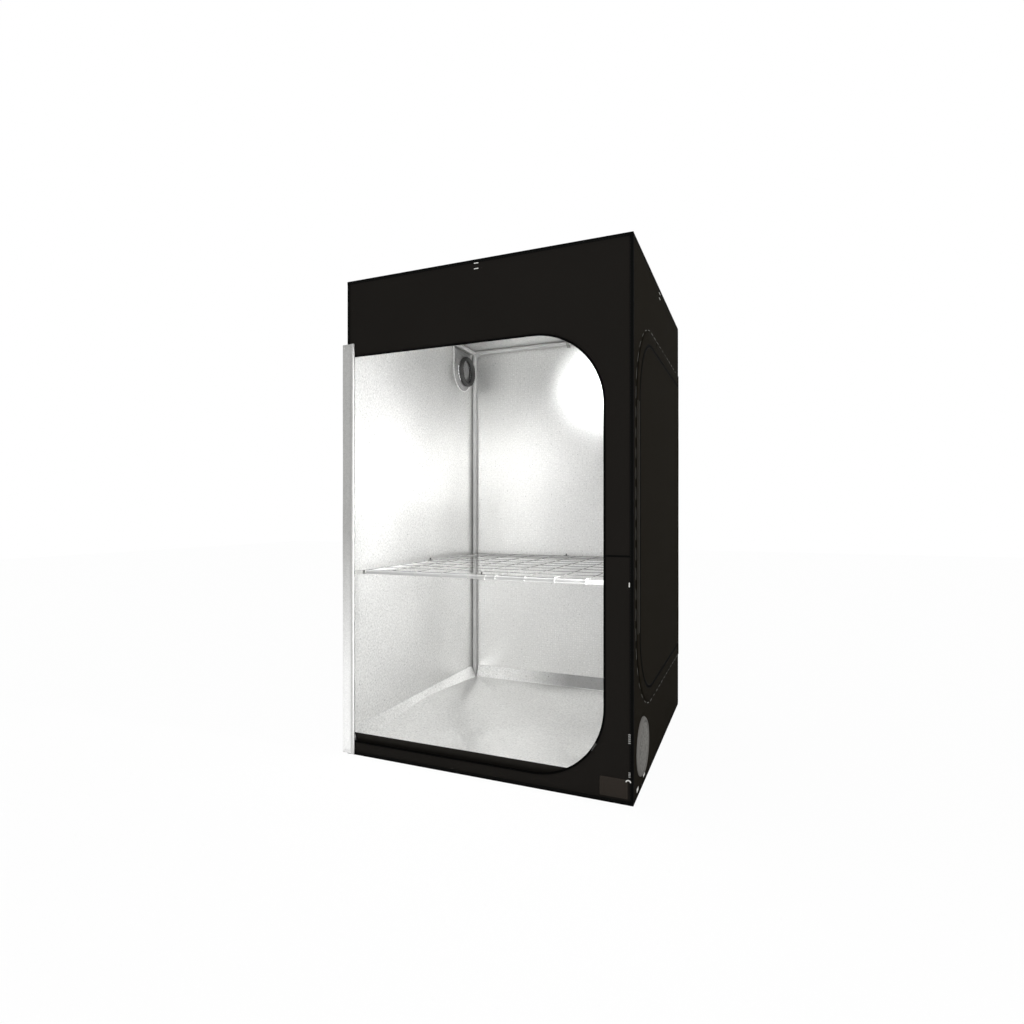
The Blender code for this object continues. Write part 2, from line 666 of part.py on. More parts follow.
def make_ports():
    """Duct sleeve with its cuff, and the round vent with its mesh."""
    start = (-INSIDE_HALF_WIDTH + CLEARANCE, DUCT_Y, DUCT_Z)
    profile = [
        (SLEEVE_FLANGE_RADIUS, 0),
        (SLEEVE_FLANGE_RADIUS, SLEEVE_FLANGE_THICKNESS),
        (SLEEVE_BASE_RADIUS, SLEEVE_FLANGE_THICKNESS),
        (SLEEVE_MOUTH_RADIUS, SLEEVE_LENGTH),
        (SLEEVE_MOUTH_RADIUS - SLEEVE_WALL, SLEEVE_LENGTH),
        (SLEEVE_BASE_RADIUS - SLEEVE_WALL, 0),
    ]
    sleeve = turned("duct_sleeve", profile, ROUND_SIDES)
    place("duct_sleeve", sleeve, SILVER_LINING, start, ALONG_X, smooth=True)
    low = SLEEVE_LENGTH + CLEARANCE
    high = low + CUFF_LENGTH
    soft = CUFF_ROUNDING
    profile = [
        (CUFF_OUTER_RADIUS, low + soft),
        (CUFF_OUTER_RADIUS, high - soft),
        (CUFF_OUTER_RADIUS - soft, high),
        (CUFF_HOLE_RADIUS + soft, high),
        (CUFF_HOLE_RADIUS, high - soft),
        (CUFF_HOLE_RADIUS, low + soft),
        (CUFF_HOLE_RADIUS + soft, low),
        (CUFF_OUTER_RADIUS - soft, low),
    ]
    cuff = turned("duct_cuff", profile, ROUND_SIDES)
    place("duct_cuff", cuff, ELASTIC_BLACK, start, ALONG_X, smooth=True)

    start = (HALF_WIDTH + CLEARANCE, VENT_Y, VENT_Z)
    bore = VENT_MESH_RADIUS + CLEARANCE
    profile = [
        (VENT_RADIUS, 0),
        (VENT_RADIUS, VENT_RIM_HEIGHT),
        (VENT_RADIUS - VENT_RIM_SLOPE, VENT_STANDOUT),
        (bore, VENT_STANDOUT),
        (bore, 0),
    ]
    ring = turned("vent_ring", profile, ROUND_SIDES)
    place("vent_ring", ring, VENT_GREY, start, ALONG_X, smooth=True)
    back = VENT_STANDOUT - VENT_MESH_SETBACK
    face = back + VENT_MESH_THICKNESS
    profile = [
        (0, back + VENT_MESH_CROWN),
        (VENT_MESH_RADIUS, back),
        (VENT_MESH_RADIUS, face),
        (0, face + VENT_MESH_CROWN),
    ]
    mesh = turned("vent_mesh", profile, ROUND_SIDES)
    place("vent_mesh", mesh, VENT_GREY, start, ALONG_X, smooth=True)

    half_width = PATCH_WIDTH / 2
    half_height = PATCH_HEIGHT / 2
    high = CLEARANCE + PATCH_THICKNESS
    patch = block("blank_patch", (-half_width, -half_height, CLEARANCE), (half_width, half_height, high))
    place("blank_patch", patch, PATCH_BROWN, (PATCH_X, -HALF_DEPTH, PATCH_Z), FACING_FRONT)


def clip_outline():
    """Clip round a post, drawn with the net's corner along +X."""
    inner = TUBE_RADIUS + CLEARANCE
    outer = inner + CLIP_WALL
    web = CLIP_WEB_HALF
    meet = math.asin(web / outer)
    reach = NET_BAR_INSET * math.sqrt(2)
    corner = CLIP_BLOCK_HALF * math.sqrt(2)
    upper = []
    for step in range(CLIP_STEPS + 1):
        angle = CLIP_HALF_ANGLE - (CLIP_HALF_ANGLE - meet) * step / CLIP_STEPS
        upper.append((outer * math.cos(angle), outer * math.sin(angle)))
    upper.append((reach - corner + web, web))
    upper.append((reach, corner))
    lower = [(x, -y) for x, y in reversed(upper)]
    inside = []
    for step in range(CLIP_STEPS + CLIP_STEPS + 1):
        angle = -CLIP_HALF_ANGLE + CLIP_HALF_ANGLE * step / CLIP_STEPS
        inside.append((inner * math.cos(angle), inner * math.sin(angle)))
    return upper + [(reach + corner, 0)] + lower + inside


def make_net():
    """The net, its four bars, the clips on the posts and the mid collars."""
    body = pivot("net_pivot", (0, 0, NET_HEIGHT))
    half_height = NET_BAR_RADIUS
    corners = (
        ("rear_right", 1, 1, -math.pi * 3 / 4),
        ("rear_left", -1, 1, -math.pi / 4),
        ("front_left", -1, -1, math.pi / 4),
        ("front_right", 1, -1, math.pi * 3 / 4),
    )
    for label, side, end, turn in corners:
        name = "net_clip_" + label
        mesh = extruded(name, clip_outline(), -half_height, half_height)
        place(name, mesh, CLIP_GREY, (side * POST_X, end * POST_Y, 0), (0, 0, turn), body)
    stop = CLIP_BLOCK_HALF + CLEARANCE
    inner = NET_BAR_RADIUS - NET_BAR_WALL
    collar_in = NET_BAR_RADIUS + CLEARANCE
    collar_out = collar_in + COLLAR_WALL
    half = COLLAR_LENGTH / 2
    collar_profile = [(collar_out, -half), (collar_out, half), (collar_in, half), (collar_in, -half)]
    peg_low = collar_out - COLLAR_BITE
    peg_profile = [(0, peg_low), (PEG_RADIUS, peg_low), (PEG_RADIUS, PEG_HEIGHT), (0, PEG_HEIGHT)]
    sides = (
        ("front", (0, -NET_Y, 0), ALONG_X, NET_X),
        ("rear", (0, NET_Y, 0), ALONG_X, NET_X),
        ("left", (-NET_X, 0, 0), ALONG_Y, NET_Y),
        ("right", (NET_X, 0, 0), ALONG_Y, NET_Y),
    )
    for label, centre, rotation, reach in sides:
        low = -reach + stop
        high = reach - stop
        profile = [(NET_BAR_RADIUS, low), (NET_BAR_RADIUS, high), (inner, high), (inner, low)]
        name = "net_bar_" + label
        place(name, turned(name, profile, TUBE_SIDES), WHITE_STEEL, centre, rotation, body, True)
        name = "net_collar_" + label
        ring = turned(name, collar_profile, TUBE_SIDES)
        peg = turned("peg", peg_profile, PEG_SIDES)
        if rotation == ALONG_X:
            moved(peg, Matrix.Rotation(-math.pi / 2, 4, "Y"))
        else:
            moved(peg, Matrix.Rotation(math.pi / 2, 4, "X"))
        collar = combined(name, ring, [peg], "UNION")
        place(name, collar, CLIP_GREY, centre, rotation, body)

    # Strings on a square pitch, with short ends that lie over the bars
    first = -NET_CELL * (NET_LINES - 1) / 2
    lines = [first + NET_CELL * index for index in range(NET_LINES)]
    string = NET_STRING / 2
    low = NET_BAR_RADIUS + CLEARANCE
    high = low + NET_STRING
    edges_x = net_edges(lines, string, NET_X + NET_STRING_END)
    edges_y = net_edges(lines, string, NET_Y + NET_STRING_END)
    mesh = bpy.data.meshes.new("trellis_net")
    shell = bmesh.new()
    corners = {}

    def corner(row, column, height):
        key = (row, column, height)
        if key not in corners:
            corners[key] = shell.verts.new((edges_x[row], edges_y[column], height))
        return corners[key]

    cells = len(edges_x) - 1
    solid = set()
    for row in range(cells):
        for column in range(cells):
            if row % 2 == 1 or column % 2 == 1:
                outer_row = row in (0, cells - 1) and column % 2 == 0
                outer_column = column in (0, cells - 1) and row % 2 == 0
                if not outer_row and not outer_column:
                    solid.add((row, column))
    around = ((-1, 0, 0, 0, 0, 1), (1, 0, 1, 0, 1, 1), (0, -1, 0, 0, 1, 0), (0, 1, 0, 1, 1, 1))
    for row, column in sorted(solid):
        for height in (low, high):
            ring = ((row, column), (row + 1, column), (row + 1, column + 1), (row, column + 1))
            shell.faces.new([corner(i, j, height) for i, j in ring])
        for step_row, step_column, a_row, a_column, b_row, b_column in around:
            if (row + step_row, column + step_column) not in solid:
                a = (row + a_row, column + a_column)
                b = (row + b_row, column + b_column)
                shell.faces.new([corner(*a, low), corner(*b, low), corner(*b, high), corner(*a, high)])
    bmesh.ops.recalc_face_normals(shell, faces=shell.faces)
    shell.to_mesh(mesh)
    shell.free()
    place("trellis_net", mesh, NET_WHITE, parent=body)


def net_edges(lines, string, end):
    """Edges of the strings along one direction, with the net's two ends."""
    edges = [-end]
    for line in lines:
        edges += [line - string, line + string]
    edges.append(end)
    return edges


clear_scene()
make_cover()
make_tray()
make_frame()
make_straps()
make_doors()
make_ports()
make_net()
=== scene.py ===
"""Looks of the indoor grow tent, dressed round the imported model."""
import math

import bmesh
import bpy
import numpy as np
from mathutils import Matrix, Vector, noise
from mathutils.geometry import delaunay_2d_cdt


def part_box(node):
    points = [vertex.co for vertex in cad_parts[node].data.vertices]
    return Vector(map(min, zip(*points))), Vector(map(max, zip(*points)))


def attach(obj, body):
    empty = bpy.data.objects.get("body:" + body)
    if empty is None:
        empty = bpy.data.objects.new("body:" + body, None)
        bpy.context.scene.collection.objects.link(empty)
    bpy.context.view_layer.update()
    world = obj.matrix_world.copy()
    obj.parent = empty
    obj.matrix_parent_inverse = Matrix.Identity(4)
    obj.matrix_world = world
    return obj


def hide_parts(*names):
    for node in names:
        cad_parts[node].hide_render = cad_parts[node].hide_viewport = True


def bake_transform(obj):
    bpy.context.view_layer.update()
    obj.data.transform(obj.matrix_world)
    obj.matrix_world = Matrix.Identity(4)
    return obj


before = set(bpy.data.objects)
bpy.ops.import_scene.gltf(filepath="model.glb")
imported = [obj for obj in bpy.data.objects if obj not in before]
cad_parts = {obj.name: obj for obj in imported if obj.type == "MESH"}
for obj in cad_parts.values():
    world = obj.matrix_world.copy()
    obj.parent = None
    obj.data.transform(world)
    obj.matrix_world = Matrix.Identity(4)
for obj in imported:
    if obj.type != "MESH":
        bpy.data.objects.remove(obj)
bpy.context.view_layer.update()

# Camera that took the photograph
CAMERA_PLACE = (1.0069, -2.6731, 1.0137)
CAMERA_TURN = (math.radians(90), 0, math.radians(22.5))
SENSOR_MM = 36
FOCAL_PIXELS = 602
PICTURE_PIXELS = 1024

# Fabric
FABRIC = 0.0012
SHEET_CELL = 0.03
SLACK = 0.0008
SLACK_SCALE = 0.22
EDGE_FADE = 0.06
EDGE_ROOM_SHARE = 0.45
LEAST_AREA_SHARE = 0.3001
SHARP_ANGLE = math.radians(40)
SHEET_NEARNESS = 1e-7
PLATE_NEARNESS = 1e-8

# Doorways and ports: the solids' own sizes, but rounder corners on the front doorway
CORNER_STEPS = 20
FRONT_RADIUS = 0.265
SIDE_RADIUS = 0.25
FRONT_OVERLAP = 0.055
SIDE_OVERLAP = 0.058
ZIP_WIDTH = 0.008
SLEEVE_BORE = 0.0985
SLEEVE_BASE = 0.1
SLEEVE_MOUTH = 0.0815
SLEEVE_STEPS = 14
SLEEVE_SIDES = 192
SLEEVE_START = 0.0025
SLEEVE_SWELL = 0.004
SLEEVE_GATHER = 0.0022
PORT_PATCH = 0.1125
PORT_PATCH_TOP = 1.953
PORT_RIM = 0.007
PORT_RIM_RISE = 0.0026
PORT_CELL = 0.02
PORT_SEAM_INSET = 0.002
PORT_STEPS = 40
SLEEVE_PLEATS = 26
COLLAR_SIDES = 128
OUTER_COLLAR = (
    (0.1055, 0.0009), (0.1025, 0.0011), (0.0995, 0.0026), (0.097, 0.007),
    (0.088, 0.0125), (0.070, 0.0170), (0.052, 0.0198), (0.044, 0.0208),
)
CUFF_HOLE = 0.064
CUFF_OUTER = 0.085
CUFF_STEPS = 20
CUFF_SIDES = 224
CUFF_PLEATS = 34
CUFF_PLEAT = 0.0013
CUFF_RIPPLE = 0.0005
VENT_BORE = 0.09
VENT_OUTER = 0.105
VENT_CROWN = 0.003
VENT_PITCH = 0.005
VENT_MESH = 0.0006
VENT_EDGE = 0.0085
VENT_LIP = 0.003
VENT_SIDES = 96
VENT_DISC_SIDES = 72
VENT_DISC_STEPS = 8
VENT_STRAND = 0.0007

# Bindings, seams, zips and the rolls that the doors turn on
BINDING_WIDTH = 0.012
BINDING_THICKNESS = 0.0009
BINDING_ROUND = 0.003
BINDING_STEPS = 6
BINDING_STITCH_INSET = 0.0025
BINDING_STITCH_GAP = 0.006
BINDING_STITCH_END = 0.02
# Room between the lowest bindings and the floor
LIFT = 0.0002
SEAM_HEIGHT = 0.86
SEAM_WIDTH = 0.007
SEAM_RISE = 0.0006
TAPE_STEP = 0.001
TAPE_CELL = 0.03
TAPE_RISE = 0.0009
STITCH_CELL = 0.01
TEETH_RISE = 0.0006
TEETH_PITCH = 0.0042
TEETH_HALF = 0.0017
TEETH_LENGTH = 0.0014
TEETH_STAGGER = 0.35
TEETH_TOP = 0.6
FRONT_SLIDER_TURN = math.radians(-29.6)
FRONT_SLIDER_MOVE = (-0.002, 0.0076)
SLIDER_SHIFT = 0.009
FOLD_RADIUS = 0.005
FOLD_STEPS = 8
ZIP_START = 0.01
HEM_START = 0.002
HEM_WIDTH = 0.007
HEM_RISE = 0.0005
HEM_STITCH_INSET = 0.012
FRONT_ROLL = (0.0085, 0.0046, -0.0025)
SIDE_ROLL = (0.0030, 0.0030, -0.0012)
ROLL_SIDES = 20
ROLL_SWELL = 0.0004
ROLL_SWELL_SCALE = 14
# x of the side door's cloth
SIDE_DOOR_FACE = 0.6028
SIDE_TAPE_WIDTH = 0.013
SIDE_TAPE_RISE = 0.0012
SIDE_CORD_PLACES = (-0.5355, -0.5085)
SIDE_CORD_ENDS = (0.58, 1.41)
SIDE_CORD_WIDTH = 0.0016
SIDE_CORD_RISE = 0.0008
OUTLINE_REACH = 0.0075
OUTLINE_STITCH = (0.045, 0.026, 0.0014, 0.0006)

# Floor tray
TRAY_FLAT = 0.20
TRAY_FOLD = 0.568
TRAY_FOLD_HEIGHT = 0.032
TRAY_NOTCH = 0.002
TRAY_RISE_STEPS = 6
TRAY_LEFT_RISE = 0.040
TRAY_LEFT_RUN = 0.54
TRAY_FRONT_RUN = 0.5
TRAY_CREASE = 0.001
TRAY_SLACK = 0.0012

# Straps on the top bars
STRAP_ROOM = 0.0003
STRAP_THICKNESS = 0.002
STRAP_STEPS = 12

# Trellis net
NET_CELL = 0.12
NET_LINES = 10
NET_SAG = 0.0014
NET_WOBBLE = 0.0007
LOOP_STEPS = 12
LOOP_SHIFT = 0.0026
KNOT_INSET = 0.012
KNOT_SHAPE = (2.3, 1.9, 1.6)
KNOT_TURN = 0.7

# Places read from the solids
WALL_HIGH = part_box("ground_sheet")[1]
ROOF_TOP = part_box("roof_panel")[1].z
HALF_X = WALL_HIGH.x
HALF_Y = WALL_HIGH.y
FRONT_TRACK_LOW, FRONT_TRACK_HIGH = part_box("front_zip_track")
SIDE_TRACK_LOW, SIDE_TRACK_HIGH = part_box("side_zip_track")
OPEN_LEFT = FRONT_TRACK_LOW.x - 0.0003
OPEN_RIGHT = FRONT_TRACK_HIGH.x - ZIP_WIDTH
OPEN_BOTTOM = FRONT_TRACK_LOW.z + ZIP_WIDTH
OPEN_TOP = FRONT_TRACK_HIGH.z - ZIP_WIDTH
SIDE_FRONT = SIDE_TRACK_LOW.y + ZIP_WIDTH
SIDE_REAR = SIDE_TRACK_HIGH.y + 0.0003
SIDE_BOTTOM = SIDE_TRACK_LOW.z + ZIP_WIDTH
SIDE_TOP = SIDE_TRACK_HIGH.z - ZIP_WIDTH
PEG_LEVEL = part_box("net_bar_front")[1].z + 0.001

# Silver film
FILM_ROUGHNESS = 0.3
FILM_METALLIC = 0.7
SCRIM_PITCH = 0.013

# Floor and light
STAGE_HALF = 14.0
STAGE_LEVEL = -0.0005
FLOOR_GLOW = 0.96
WORLD_LIGHT = 0.75
SPOT_RADIUS = 0.03
SPOT_PLACE = (-0.10, -0.45, 1.85)

# Area lamps: name, place, target, size, power, spread in degrees
AREA_LAMPS = (
    ("key", (1.6, -3.6, 1.75), (-0.2, 0, 1.1), (1.2, 1.2), 38, 180),
    ("inside_right", (0.55, -0.555, 1.27), (-0.6, -0.50, 1.28), (0.05, 1.05), 8.8, 74),
    ("inside_low", (0.55, -0.555, 0.41), (-0.6, -0.34, 0.52), (0.05, 0.60), 5.3, 92),
    ("inside_top", (-0.15, -0.3, 1.92), (-0.10, -0.02, 0.0), (0.4, 0.4), 5.2, 100),
    ("inside_up", (0.40, -0.50, 1.15), (-0.40, 0.6, 1.68), (0.10, 0.10), 1.6, 56),
    ("hot_spot", (-0.14, -0.385, 1.90), (0.23, 0.6, 1.72), (0.10, 0.10), 0.34, 40),
)

# Spots on the rear wall: name, target, power, angle in degrees
SPOT_LAMPS = (
    ("band_high", (-0.13, 0.6, 1.50), 2.3, 20),
    ("band_low", (-0.31, 0.6, 1.11), 4.2, 25),
)


def middle(node):
    low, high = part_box(node)
    return (low + high) / 2


# Materials


def fill(tree, socket, value):
    """Link another node's output to a socket, or set the socket's own value."""
    if isinstance(value, bpy.types.NodeSocket):
        tree.links.new(value, socket)
    else:
        socket.default_value = (*value, 1) if isinstance(value, tuple) else value


def set_sockets(tree, node, **sockets):
    """Fill a node's sockets by name, with _ for a space."""
    for name, value in sockets.items():
        fill(tree, node.inputs[name.replace("_", " ")], value)


def add_node(tree, kind, settings=(), **sockets):
    """A new shader node with its settings, then its sockets."""
    node = tree.nodes.new("ShaderNode" + kind)
    for name, value in settings:
        setattr(node, name, value)
    set_sockets(tree, node, **sockets)
    return node


def math_node(tree, operation, first, second):
    """The result of a maths node on two numbers or outputs."""
    node = add_node(tree, "Math", [("operation", operation)])
    for socket, value in zip(node.inputs, (first, second)):
        fill(tree, socket, value)
    return node.outputs["Value"]


class Look:
    """A node material that is built up step by step."""

    def __init__(self, name, colour, roughness, metallic=0.0, specular=0.4):
        self.material = bpy.data.materials.new(name)
        self.material.use_nodes = True
        self.tree = self.material.node_tree
        self.shader = self.tree.nodes["Principled BSDF"]
        self.shade(Base_Color=colour, Roughness=roughness)
        self.shade(Metallic=metallic, Specular_IOR_Level=specular)
        self.place = self.node("TexCoord").outputs["Object"]
        self.normal = None

    def node(self, kind, settings=(), **sockets):
        return add_node(self.tree, kind, settings, **sockets)

    def shade(self, **sockets):
        set_sockets(self.tree, self.shader, **sockets)

    def noise(self, scale, detail=2.0, roughness=0.5):
        node = self.node("TexNoise", Scale=scale, Detail=detail, Roughness=roughness, Vector=self.place)
        return node.outputs["Fac"]

    def cells(self, scale):
        return self.node("TexVoronoi", Scale=scale, Vector=self.place).outputs["Distance"]

    def bands(self, period, axis):
        """Stripes across one axis, with a period in metres."""
        settings = [("wave_type", "BANDS"), ("bands_direction", axis), ("wave_profile", "SIN")]
        node = self.node("TexWave", settings, Scale=math.tau / (20 * period), Vector=self.place)
        return node.outputs["Fac"]

    def math(self, operation, first, second):
        return math_node(self.tree, operation, first, second)

    def map_range(self, factor, **ends):
        return self.node("MapRange", Value=factor, **ends).outputs["Result"]

    def share_along(self, axis, low, high):
        """0 up to one place along an axis, 1 beyond the other, and a slope between."""
        split = self.node("SeparateXYZ", Vector=self.place)
        return self.map_range(split.outputs[axis], From_Min=low, From_Max=high)

    def contrast(self, factor):
        """The middle of a noise, stretched to run from 0 to 1."""
        return self.map_range(factor, From_Min=0.3, From_Max=0.7)

    def blend(self, factor, first, second):
        """Colour that runs from first to second as the factor goes from 0 to 1."""
        node = self.node("Mix", [("data_type", "RGBA")], Factor=factor, A=first, B=second)
        return node.outputs["Result"]

    def colour(self, factor, first, second):
        """Colour the surface from first to second by the factor."""
        self.shade(Base_Color=self.blend(factor, first, second))

    def roughness(self, factor, low, high):
        self.shade(Roughness=self.map_range(factor, To_Min=low, To_Max=high))

    def bump(self, height, depth, strength=1.0):
        """Raise the surface by a height, on top of any bumps it has."""
        node = self.node("Bump", Strength=strength, Distance=depth, Height=height)
        if self.normal is not None:
            set_sockets(self.tree, node, Normal=self.normal)
        self.normal = node.outputs["Normal"]
        self.shade(Normal=self.normal)


def shade(colour, factor):
    return tuple(channel * factor for channel in colour)


def woven(name, colour, period=0.0012, roughness=0.8, specular=0.02):
    """Plain woven canvas: threads both ways, faint dust and rubbed patches."""
    look = Look(name, colour, roughness, specular=specular)
    threads = look.math("ADD", look.bands(period, "X"), look.bands(period, "Z"))
    threads = look.math("ADD", threads, look.bands(period, "Y"))
    broad = look.noise(3.5, 4.0)
    fine = look.noise(160.0, 2.0)
    spread = look.math("MULTIPLY", broad, 0.6)
    spread = look.math("ADD", spread, look.math("MULTIPLY", fine, 0.4))
    look.colour(spread, shade(colour, 0.82), shade(colour, 1.2))
    look.roughness(broad, roughness - 0.06, roughness + 0.06)
    look.bump(threads, 0.00018, 0.5)
    return look.material


def film(name, colour, grid=None, roughness=0.42, metallic=0.0, painted_shade=None):
    """Silver lining film: fine embossed bumps, or a square scrim under the film.

    The last argument is (start, end, level, share) of a painted shade: above that level the film gets
    darker from the start to the end along the tent's width, down to that share of its tone.
    """
    look = Look(name, colour, roughness, metallic, specular=0.5)
    broad = look.math("MULTIPLY", look.noise(2.2, 3.0), 0.25)
    grain = look.noise(120.0, 3.0, 0.7)
    spread = look.contrast(look.math("ADD", broad, look.math("MULTIPLY", grain, 0.75)))
    tone = look.blend(spread, shade(colour, 0.66), shade(colour, 1.22))
    if painted_shade is not None:
        # Painted shade: the film darkens towards one end above a level.
        start, end, level, share = painted_shade
        across = look.share_along("X", start, end)
        above = look.share_along("Z", level, level + 0.004)
        shaded_tone = look.blend(spread, shade(colour, 0.85 * share), shade(colour, 1.15 * share))
        tone = look.blend(look.math("MULTIPLY", across, above), tone, shaded_tone)
    if grid is None:
        look.shade(Base_Color=tone)
        look.bump(look.noise(140.0, 3.0, 0.6), 0.0008, 0.25)
    else:
        lines = look.math("MAXIMUM", look.bands(grid, "X"), look.bands(grid, "Z"))
        lines = look.math("POWER", lines, 5.0)
        look.colour(lines, tone, shade(colour, 0.93))
        look.bump(lines, 0.0006, 0.5)
        look.bump(look.noise(120.0, 3.0, 0.6), 0.0006, 0.25)
    look.roughness(grain, roughness - 0.08, roughness + 0.1)
    return look.material


def door_film_painted_shade(name, low_colour, high_colour, low, high):
    """Film of the folded door with painted shade: its tone runs from the low colour at the bottom to a
    darker high colour at the top.
    """
    look = Look(name, low_colour, 0.55, specular=0.3)
    rise = look.share_along("Z", low, high)
    grain = look.noise(260.0, 3.0, 0.65)
    dark = look.blend(rise, shade(low_colour, 0.88), shade(high_colour, 0.82))
    light = look.blend(rise, shade(low_colour, 1.08), shade(high_colour, 1.18))
    look.colour(look.contrast(grain), dark, light)
    look.roughness(grain, 0.45, 0.62)
    look.bump(look.noise(140.0, 3.0, 0.6), 0.0011, 0.6)
    return look.material


def two_tone(name, low_colour, high_colour, level):
    """Moulded plastic with another colour above one height of the tent."""
    look = Look(name, low_colour, 0.45)
    cloud = look.noise(60.0, 3.0)
    rise = look.share_along("Z", level - 0.0005, level + 0.0005)
    dark = look.blend(rise, shade(low_colour, 0.9), shade(high_colour, 0.85))
    light = look.blend(rise, shade(low_colour, 1.06), shade(high_colour, 1.15))
    look.colour(cloud, dark, light)
    look.roughness(cloud, 0.38, 0.53)
    look.bump(look.noise(1400.0, 2.0), 0.0001, 0.5)
    return look.material


def powder_coat(name, colour, roughness=0.38):
    """Coated steel tube: orange peel, and handling marks along it."""
    look = Look(name, colour, roughness, specular=0.5)
    peel = look.noise(900.0, 2.0)
    marks = look.noise(28.0, 5.0, 0.7)
    look.colour(marks, shade(colour, 0.86), shade(colour, 1.08))
    look.roughness(marks, roughness - 0.08, roughness + 0.14)
    look.bump(peel, 0.00012, 0.5)
    return look.material


def moulded(name, colour, roughness=0.5, specular=0.4):
    """Moulded plastic or rubber: a fine grain and slightly uneven gloss."""
    look = Look(name, colour, roughness, specular=specular)
    grain = look.noise(1400.0, 2.0)
    cloud = look.noise(60.0, 3.0)
    look.colour(cloud, shade(colour, 0.85), shade(colour, 1.15))
    look.roughness(cloud, roughness - 0.07, roughness + 0.08)
    look.bump(grain, 0.0001, 0.5)
    return look.material


def thread(name, colour, period=0.0014):
    """Twisted thread or cord."""
    look = Look(name, colour, 0.75, specular=0.25)
    twist = look.math("ADD", look.bands(period, "DIAGONAL"), look.noise(700.0, 2.0))
    look.colour(look.noise(240.0, 2.0), shade(colour, 0.85), shade(colour, 1.08))
    look.bump(twist, 0.0002, 0.6)
    return look.material


def mottled(name, colour):
    """Open mesh cloth, seen as a dark and light mottle."""
    look = Look(name, colour, 0.8, specular=0.2)
    cloud = look.noise(110.0, 5.0, 0.8)
    look.colour(look.contrast(cloud), shade(colour, 0.25), shade(colour, 1.5))
    look.bump(look.cells(330.0), 0.0006, 0.7)
    return look.material


BLACK = (0.0110, 0.0099, 0.0087)
# The side walls' black is a lighter, warmer copy of the front's: painted light on the side walls.
SIDE_BLACK_PAINTED_LIGHT = (0.0128, 0.0109, 0.0078)
EDGE_BLACK = (0.0026, 0.0027, 0.0026)
SILVER = (0.71, 0.71, 0.70)
# Start, end, level and share of the painted shade on the floor tray's lips, darker towards the right
LIP_PAINTED_SHADE = (-0.42, 0.0, 0.031, 0.32)

canvas = woven("black_canvas", BLACK)
side_canvas_painted_light = woven("black_canvas_side_painted_light", SIDE_BLACK_PAINTED_LIGHT, specular=0.005)
binding = woven("edge_binding", EDGE_BLACK, 0.0016, 0.7)
bumpy_film = film("silver_film", SILVER, roughness=FILM_ROUGHNESS, metallic=FILM_METALLIC)
scrim_film = film("silver_scrim_film", SILVER, SCRIM_PITCH, FILM_ROUGHNESS, FILM_METALLIC)
tray_film = film("silver_tray_film", SILVER, None, FILM_ROUGHNESS, FILM_METALLIC, LIP_PAINTED_SHADE)
# The duct's film is the silver film darkened to about a third: painted shade on the sleeve, its patch and
# its outer collar.
duct_film_painted_shade = film("silver_duct_film_painted_shade", shade(SILVER, 0.36), roughness=0.7)
rim_film = film("silver_rim_film", (0.80, 0.80, 0.79))
# The door's strip and its roll are darker grey towards their tops and paler towards their bottoms: painted
# shade at the top, painted light at the bottom.
strip_film_painted_shade = door_film_painted_shade("silver_door_film_painted_shade", (0.95, 0.95, 0.94), (0.41, 0.41, 0.40), 0.34, 0.93)
roll_film_painted_shade = door_film_painted_shade("silver_roll_film_painted_shade", (0.60, 0.60, 0.59), (0.40, 0.40, 0.39), 0.35, 1.4)
steel = powder_coat("frame_steel", (0.38, 0.38, 0.375))
white_steel = powder_coat("net_bar_steel", (0.40, 0.40, 0.395), 0.34)
clip_pale = moulded("clip_plastic", (0.20, 0.20, 0.19))
collar_look = two_tone("collar_plastic", (0.40, 0.40, 0.39), (0.04, 0.04, 0.038), PEG_LEVEL)
strap_grey = woven("strap_webbing", (0.20, 0.20, 0.19), 0.0018, 0.7, 0.3)
zip_black = moulded("zip_coil", (0.0018, 0.0019, 0.0018), 0.45, 0.01)
slider_metal = moulded("zip_slider_metal", (0.045, 0.045, 0.043), 0.35, 0.2)
zip_tape = woven("zip_tape", (0.0016, 0.0016, 0.0015), 0.0009, 0.7, 0.01)
elastic = woven("elastic_cuff", (0.055, 0.055, 0.054), 0.0016, 0.75, 0.1)
vent_cloth = woven("vent_edge", (0.165, 0.160, 0.150), 0.0010, 0.75, 0.1)
# The tray's outside is a lighter black than the canvas: painted light on its shaded outer face.
tray_canvas_painted_light = woven("tray_outside_painted_light", (0.0165, 0.0150, 0.0130))
patch_cloth = woven("blank_patch_cloth", (0.0275, 0.0230, 0.0193), 0.0008, 0.7)
patch_thread = thread("patch_border_thread", (0.036, 0.031, 0.025), 0.0008)
dark_thread = thread("dark_stitching", (0.010, 0.010, 0.009), 0.0010)
silver_thread = thread("silver_stitching", (0.45, 0.45, 0.44), 0.0010)
outline_thread = thread("outline_stitching", (0.16, 0.16, 0.15), 0.0012)
pale_grey = moulded("ribbed_tab", (0.36, 0.36, 0.35), 0.5)
string_grey = thread("net_string", (0.15, 0.15, 0.146))
# Knots and loops take a paler copy of the string's colour: painted highlight.
knot_painted_highlight = thread("net_knot_painted_highlight", (0.42, 0.42, 0.41))
vent_mesh_cloth = mottled("vent_mesh_cloth", (0.235, 0.230, 0.216))
pale_thread = thread("pale_stitching", (0.78, 0.78, 0.75), 0.0010)
grey_thread = thread("grey_stitching", (0.085, 0.082, 0.074), 0.0010)


# Shapes


def link(name, data):
    piece = bpy.data.objects.new(name, data)
    bpy.context.scene.collection.objects.link(piece)
    return piece


